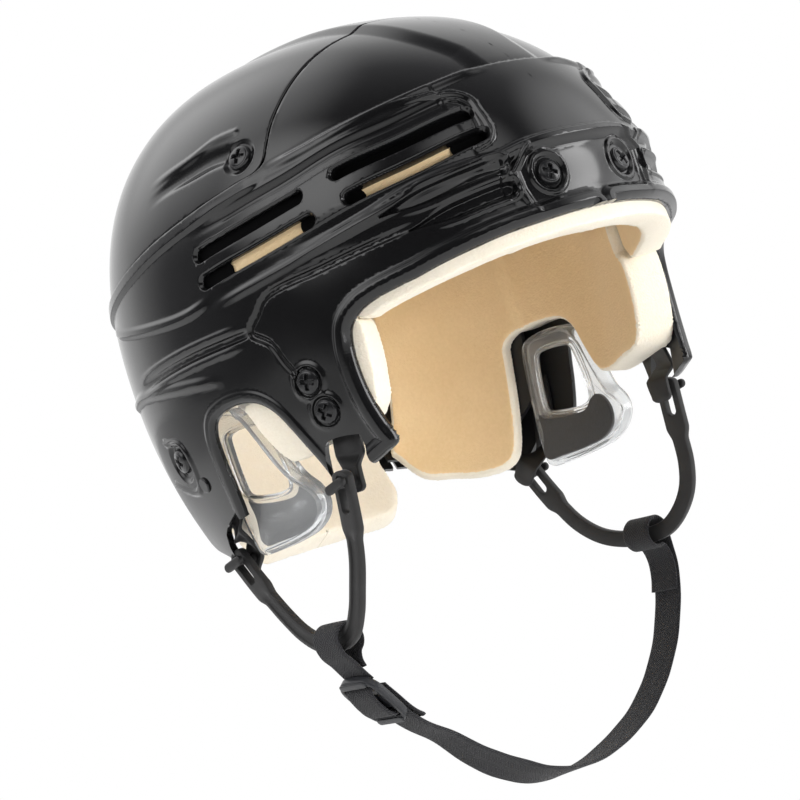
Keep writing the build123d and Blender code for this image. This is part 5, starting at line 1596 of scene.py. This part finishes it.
STRAP = [tuple(BK_A + BK_D * 9.0), tuple(BK_A + BK_D * 13.0), tuple(BK_A + BK_D * 17.0), tuple(BK_A + BK_D * 21.0),
         tuple(BK_A + BK_D * 25.5), (-65.2, -98.8), (-54.8, -105.6), (-46.5, -112.6), (-37.6, -119.8), (-21.1, -130.2), (-5.7, -136.6),
         (11.7, -139.2), (31.9, -137.0), (53.6, -130.0), (72.1, -118.1), (85.4, -103.0), (93.8, -88.0), (97.68, -75.3), (98.18, -66.5)]
STRAP += arc(WRAP_X, WRAP_Z, RW, 0, 200, 12) + arc(WRAP_X, WRAP_Z, RW, 225, 285, 4) + [(95.3, -66.8), (96.3, -71.5), (95.5, -77.5), (93.2, -83.5)]
st = web("strap_webbing", STRAP, twist=lambda s: 5.0 * math.exp(-((s - 150) / 26) ** 2) - 27.0 * math.exp(-((s - 80) / 32) ** 2))
finish_piece(st, "strap", ("chin_strap",))
b0 = BK_A + BK_D * 3.2
ANCHOR = [tuple(b0), tuple(b0 - BK_D * 3.0)] + [(-92.6, -66.6), (-96.4, -62.4)] + arc(-WRAP_X, WRAP_Z, RW, 170, -40, 12) + [(-88.4, -63.2), (-88.9, -66.6), (-87.9, -69.5)]
an = web("strap_anchor_webbing", ANCHOR)
finish_piece(an, "strap", ("strap_anchor",))
bk_mid = (BK_A + BK_B) / 2 + BK_D * 0.5
D3 = np.array([BK_D[0], 0, BK_D[1]])
N3 = np.array([BK_N[0], 0, BK_N[1]])
Y3 = np.cross(N3, D3)
base3 = np.array([bk_mid[0], WRAP_Y, bk_mid[1]])
holes = []
for cx in (-6.6, 6.6):
    holes.append(rounded_rect(5.2, 16.2, 1.2)[::-1] + np.array([cx, 0]))
bk = plate("buckle_frame", [rounded_rect(26.5, 21.4, 7.6, 12)] + holes, base3 + N3 * 1.05, D3, Y3, 3.4, 0.8, M_BUCKLE, sharp=50.0)
lips = [plate("buckle_lip" + str(i), [rounded_rect(3.0, 15.0, 1.4, 8) + np.array([cx, 0])], base3 + N3 * 4.2, D3, Y3, 0.9, 0.44, M_BUCKLE, sharp=50.0)
        for i, cx in enumerate((-11.1, 11.1))]
bk = merge("buckle", [bk] + lips)
finish_piece(bk, "strap", ("strap_buckle",))
over = [(-8.2, 1.2), (-8.0, 3.4), (-6.4, 5.3), (-3.0, 6.1), (1.0, 6.3), (4.2, 6.0), (7.0, 5.0), (8.0, 3.2), (8.2, 1.2)]
tl = web("tail_over", [tuple(bk_mid + BK_D * a + BK_N * b2) for a, b2 in over], width=14.8, step=0.6)
te = web("tail_end", [tuple(bk_mid + BK_D * a + BK_N * b2) for a, b2 in ((-3.0, -2.1), (4, -2.1), (11, -2.2), (16, -2.8), (19.5, -3.8))])
tl = merge("strap_tail_webbing", [tl, te])
finish_piece(tl, "strap", ("strap_tail",))

# ------------------------------------------------------------------ screws, nuts and rivets
sl = screw("s1", P_FR - N_FR * 1.3, N_FR, 5.2, 2.5, 0.4)
finish_piece(merge("screws_front", [sl, mirrored(sl, "s1m")]), "front_body", ("front_screws",))
a1 = screw("s2", P_T1 - N_T1 * 0.9, N_T1, 5.2, 2.6, 0.25)
a2 = screw("s3", P_T2 - N_T2 * 0.9, N_T2, 5.2, 2.6, 0.6)
finish_piece(merge("screws_temple", [a1, mirrored(a1, "s2m"), a2, mirrored(a2, "s3m")]), "front_body", ("temple_screws",))
a1 = screw("s4", P_LOW - N_LOW * 1.6, N_LOW, 5.4, 2.4, 0.5)
finish_piece(merge("screws_lower", [a1, mirrored(a1, "s4m")]), "front_body", ("lower_adjust_screws",))
a1 = screw("s5", P_UP - N_UP * 1.5, N_UP, 5.4, 2.4, 0.2)
finish_piece(merge("screws_upper", [a1, mirrored(a1, "s5m")]), "rear_body", ("upper_adjust_screws",))
for name, mt in (("front_screw_nuts", M_STEEL), ("temple_nuts", M_STEEL), ("lower_adjust_nuts", M_STEEL), ("upper_adjust_nuts", M_STEEL),
                 ("tab_rivets", M_SCREW)):
    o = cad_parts[name]
    if not o.material_slots:
        o.data.materials.append(mt)
    for s in o.material_slots:
        s.link = "OBJECT"
        s.material = mt

# ------------------------------------------------------------------ stage, lights and camera
bm = bmesh.new()
bmesh.ops.create_grid(bm, x_segments=2, y_segments=2, size=14.0)
mesh = bpy.data.meshes.new("floor")
bm.to_mesh(mesh)
bm.free()
floor = bpy.data.objects.new("floor", mesh)
floor.location = (0, 0, -0.26)
bpy.context.scene.collection.objects.link(floor)
m, nt, b = new_material("floor_white")
b.inputs["Base Color"].default_value = (0.9, 0.9, 0.9, 1)
b.inputs["Roughness"].default_value = 0.9
b.inputs["Base Color"].default_value = (0.62, 0.62, 0.62, 1)
em = node(nt, "ShaderNodeEmission", {"Color": (1, 1, 1, 1), "Strength": 1.0})
lpf = nt.nodes.new("ShaderNodeLightPath")
mixf = node(nt, "ShaderNodeMixShader", {0: lpf.outputs["Is Camera Ray"], 1: b.outputs[0], 2: em.outputs[0]})
nt.links.new(mixf.outputs[0], [x for x in nt.nodes if x.type == "OUTPUT_MATERIAL"][0].inputs[0])
mesh.materials.append(m)
floor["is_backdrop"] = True

world = bpy.data.worlds.new("studio")
bpy.context.scene.world = world
world.use_nodes = True
nt = world.node_tree
nt.nodes.clear()
wo = nt.nodes.new("ShaderNodeOutputWorld")
co = node(nt, "ShaderNodeTexCoord").outputs["Generated"]
to_cam = (-0.687, -0.723, 0.06)
dot = node(nt, "ShaderNodeVectorMath", {0: co, 1: to_cam}, operation="DOT_PRODUCT").outputs["Value"]
dark = ramp(nt, node(nt, "ShaderNodeMapRange", {0: dot, 1: -1.0, 2: 1.0, 3: 0.0, 4: 1.0}).outputs[0],
            [(0.0, (1, 1, 1)), (0.17, (1, 1, 1)), (0.40, (0.30, 0.30, 0.31)), (0.62, (0.11, 0.11, 0.115)), (1.0, (0.05, 0.05, 0.052))])
glow = None
for way, lo, gain in (((-0.84, 0.24, -0.48), 0.80, 1.9), ((-0.74, 0.10, 0.66), 0.86, 2.4), ((-0.15, 0.60, 0.78), 0.80, 1.1),
                      ((-0.05, -0.72, 0.69), 0.90, 1.2), ((0.80, -0.45, 0.40), 0.88, 1.2)):
    near = node(nt, "ShaderNodeVectorMath", {0: co, 1: way}, operation="DOT_PRODUCT").outputs["Value"]
    spot = node(nt, "ShaderNodeMapRange", {0: near, 1: lo, 2: 1.0, 3: 0.0, 4: gain}, interpolation_type="SMOOTHSTEP").outputs[0]
    glow = spot if glow is None else node(nt, "ShaderNodeMath", {0: glow, 1: spot}, operation="ADD").outputs[0]
lit = node(nt, "ShaderNodeVectorMath", {0: dark, 1: glow}, operation="ADD").outputs[0]
bg_env = node(nt, "ShaderNodeBackground", {"Color": lit, "Strength": 0.95})
bg_cam = node(nt, "ShaderNodeBackground", {"Color": (1, 1, 1, 1), "Strength": 1.0})
lp = nt.nodes.new("ShaderNodeLightPath")
mx = node(nt, "ShaderNodeMixShader", {0: lp.outputs["Is Camera Ray"], 1: bg_env.outputs[0], 2: bg_cam.outputs[0]})
nt.links.new(mx.outputs[0], wo.inputs[0])


def area(name, loc, target, size, energy, colour=(1, 1, 1), size_y=None, glossy=True):
    li = bpy.data.lights.new(name, "AREA")
    li.energy = energy
    li.color = colour
    li.size = size
    if size_y:
        li.shape = "RECTANGLE"
        li.size_y = size_y
    o = bpy.data.objects.new(name, li)
    o.location = loc
    d = Vector(target) - Vector(loc)
    o.rotation_euler = d.to_track_quat("-Z", "Y").to_euler()
    bpy.context.scene.collection.objects.link(o)
    o.visible_glossy = glossy
    return o


area("key_top", (-0.75, -0.05, 1.9), (0, 0, 0.08), 0.9, 10, size_y=0.7, glossy=False)
area("top_fill", (0.3, 0.2, 1.9), (0, 0, 0.05), 1.5, 22, size_y=1.1, glossy=False)
area("side_left", (-1.25, 1.15, 0.75), (0, 0, 0.06), 1.3, 16, size_y=1.0, glossy=False)
area("front_fill", (-0.05, -1.9, -0.2), (0, -0.02, 0.05), 1.1, 44, size_y=0.8, glossy=False)
area("rim_right", (1.1, -1.25, 0.35), (0, -0.02, 0.06), 0.5, 6, size_y=0.9)
area("under", (-0.35, -0.5, -1.1), (0, 0, 0.02), 0.9, 10, size_y=0.9, glossy=False)


R = np.array([[0.70901024, -0.65052105, -0.27226244], [-0.18868637, 0.19700524, -0.96207401], [0.67948652, 0.73349253, 0.01693428]])
cam = bpy.data.cameras.new("camera")
cam.lens = 115.19
cam.sensor_width = 36.0
cam.clip_start = 0.05
cam.clip_end = 60
cam_obj = bpy.data.objects.new("camera", cam)
mw = Matrix.Identity(4)
for i in range(3):
    mw[i][0] = R[0, i]
    mw[i][1] = -R[1, i]
    mw[i][2] = -R[2, i]
mw[0][3], mw[1][3], mw[2][3] = -0.726192, -0.764316, 0.008249
cam_obj.matrix_world = mw
bpy.context.scene.collection.objects.link(cam_obj)
bpy.context.scene.camera = cam_obj
bpy.context.scene.view_settings.view_transform = "Standard"

NOW_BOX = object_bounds()
print("cad box", [list(p) for p in CAD_BOX], "visual box", [list(p) for p in NOW_BOX])
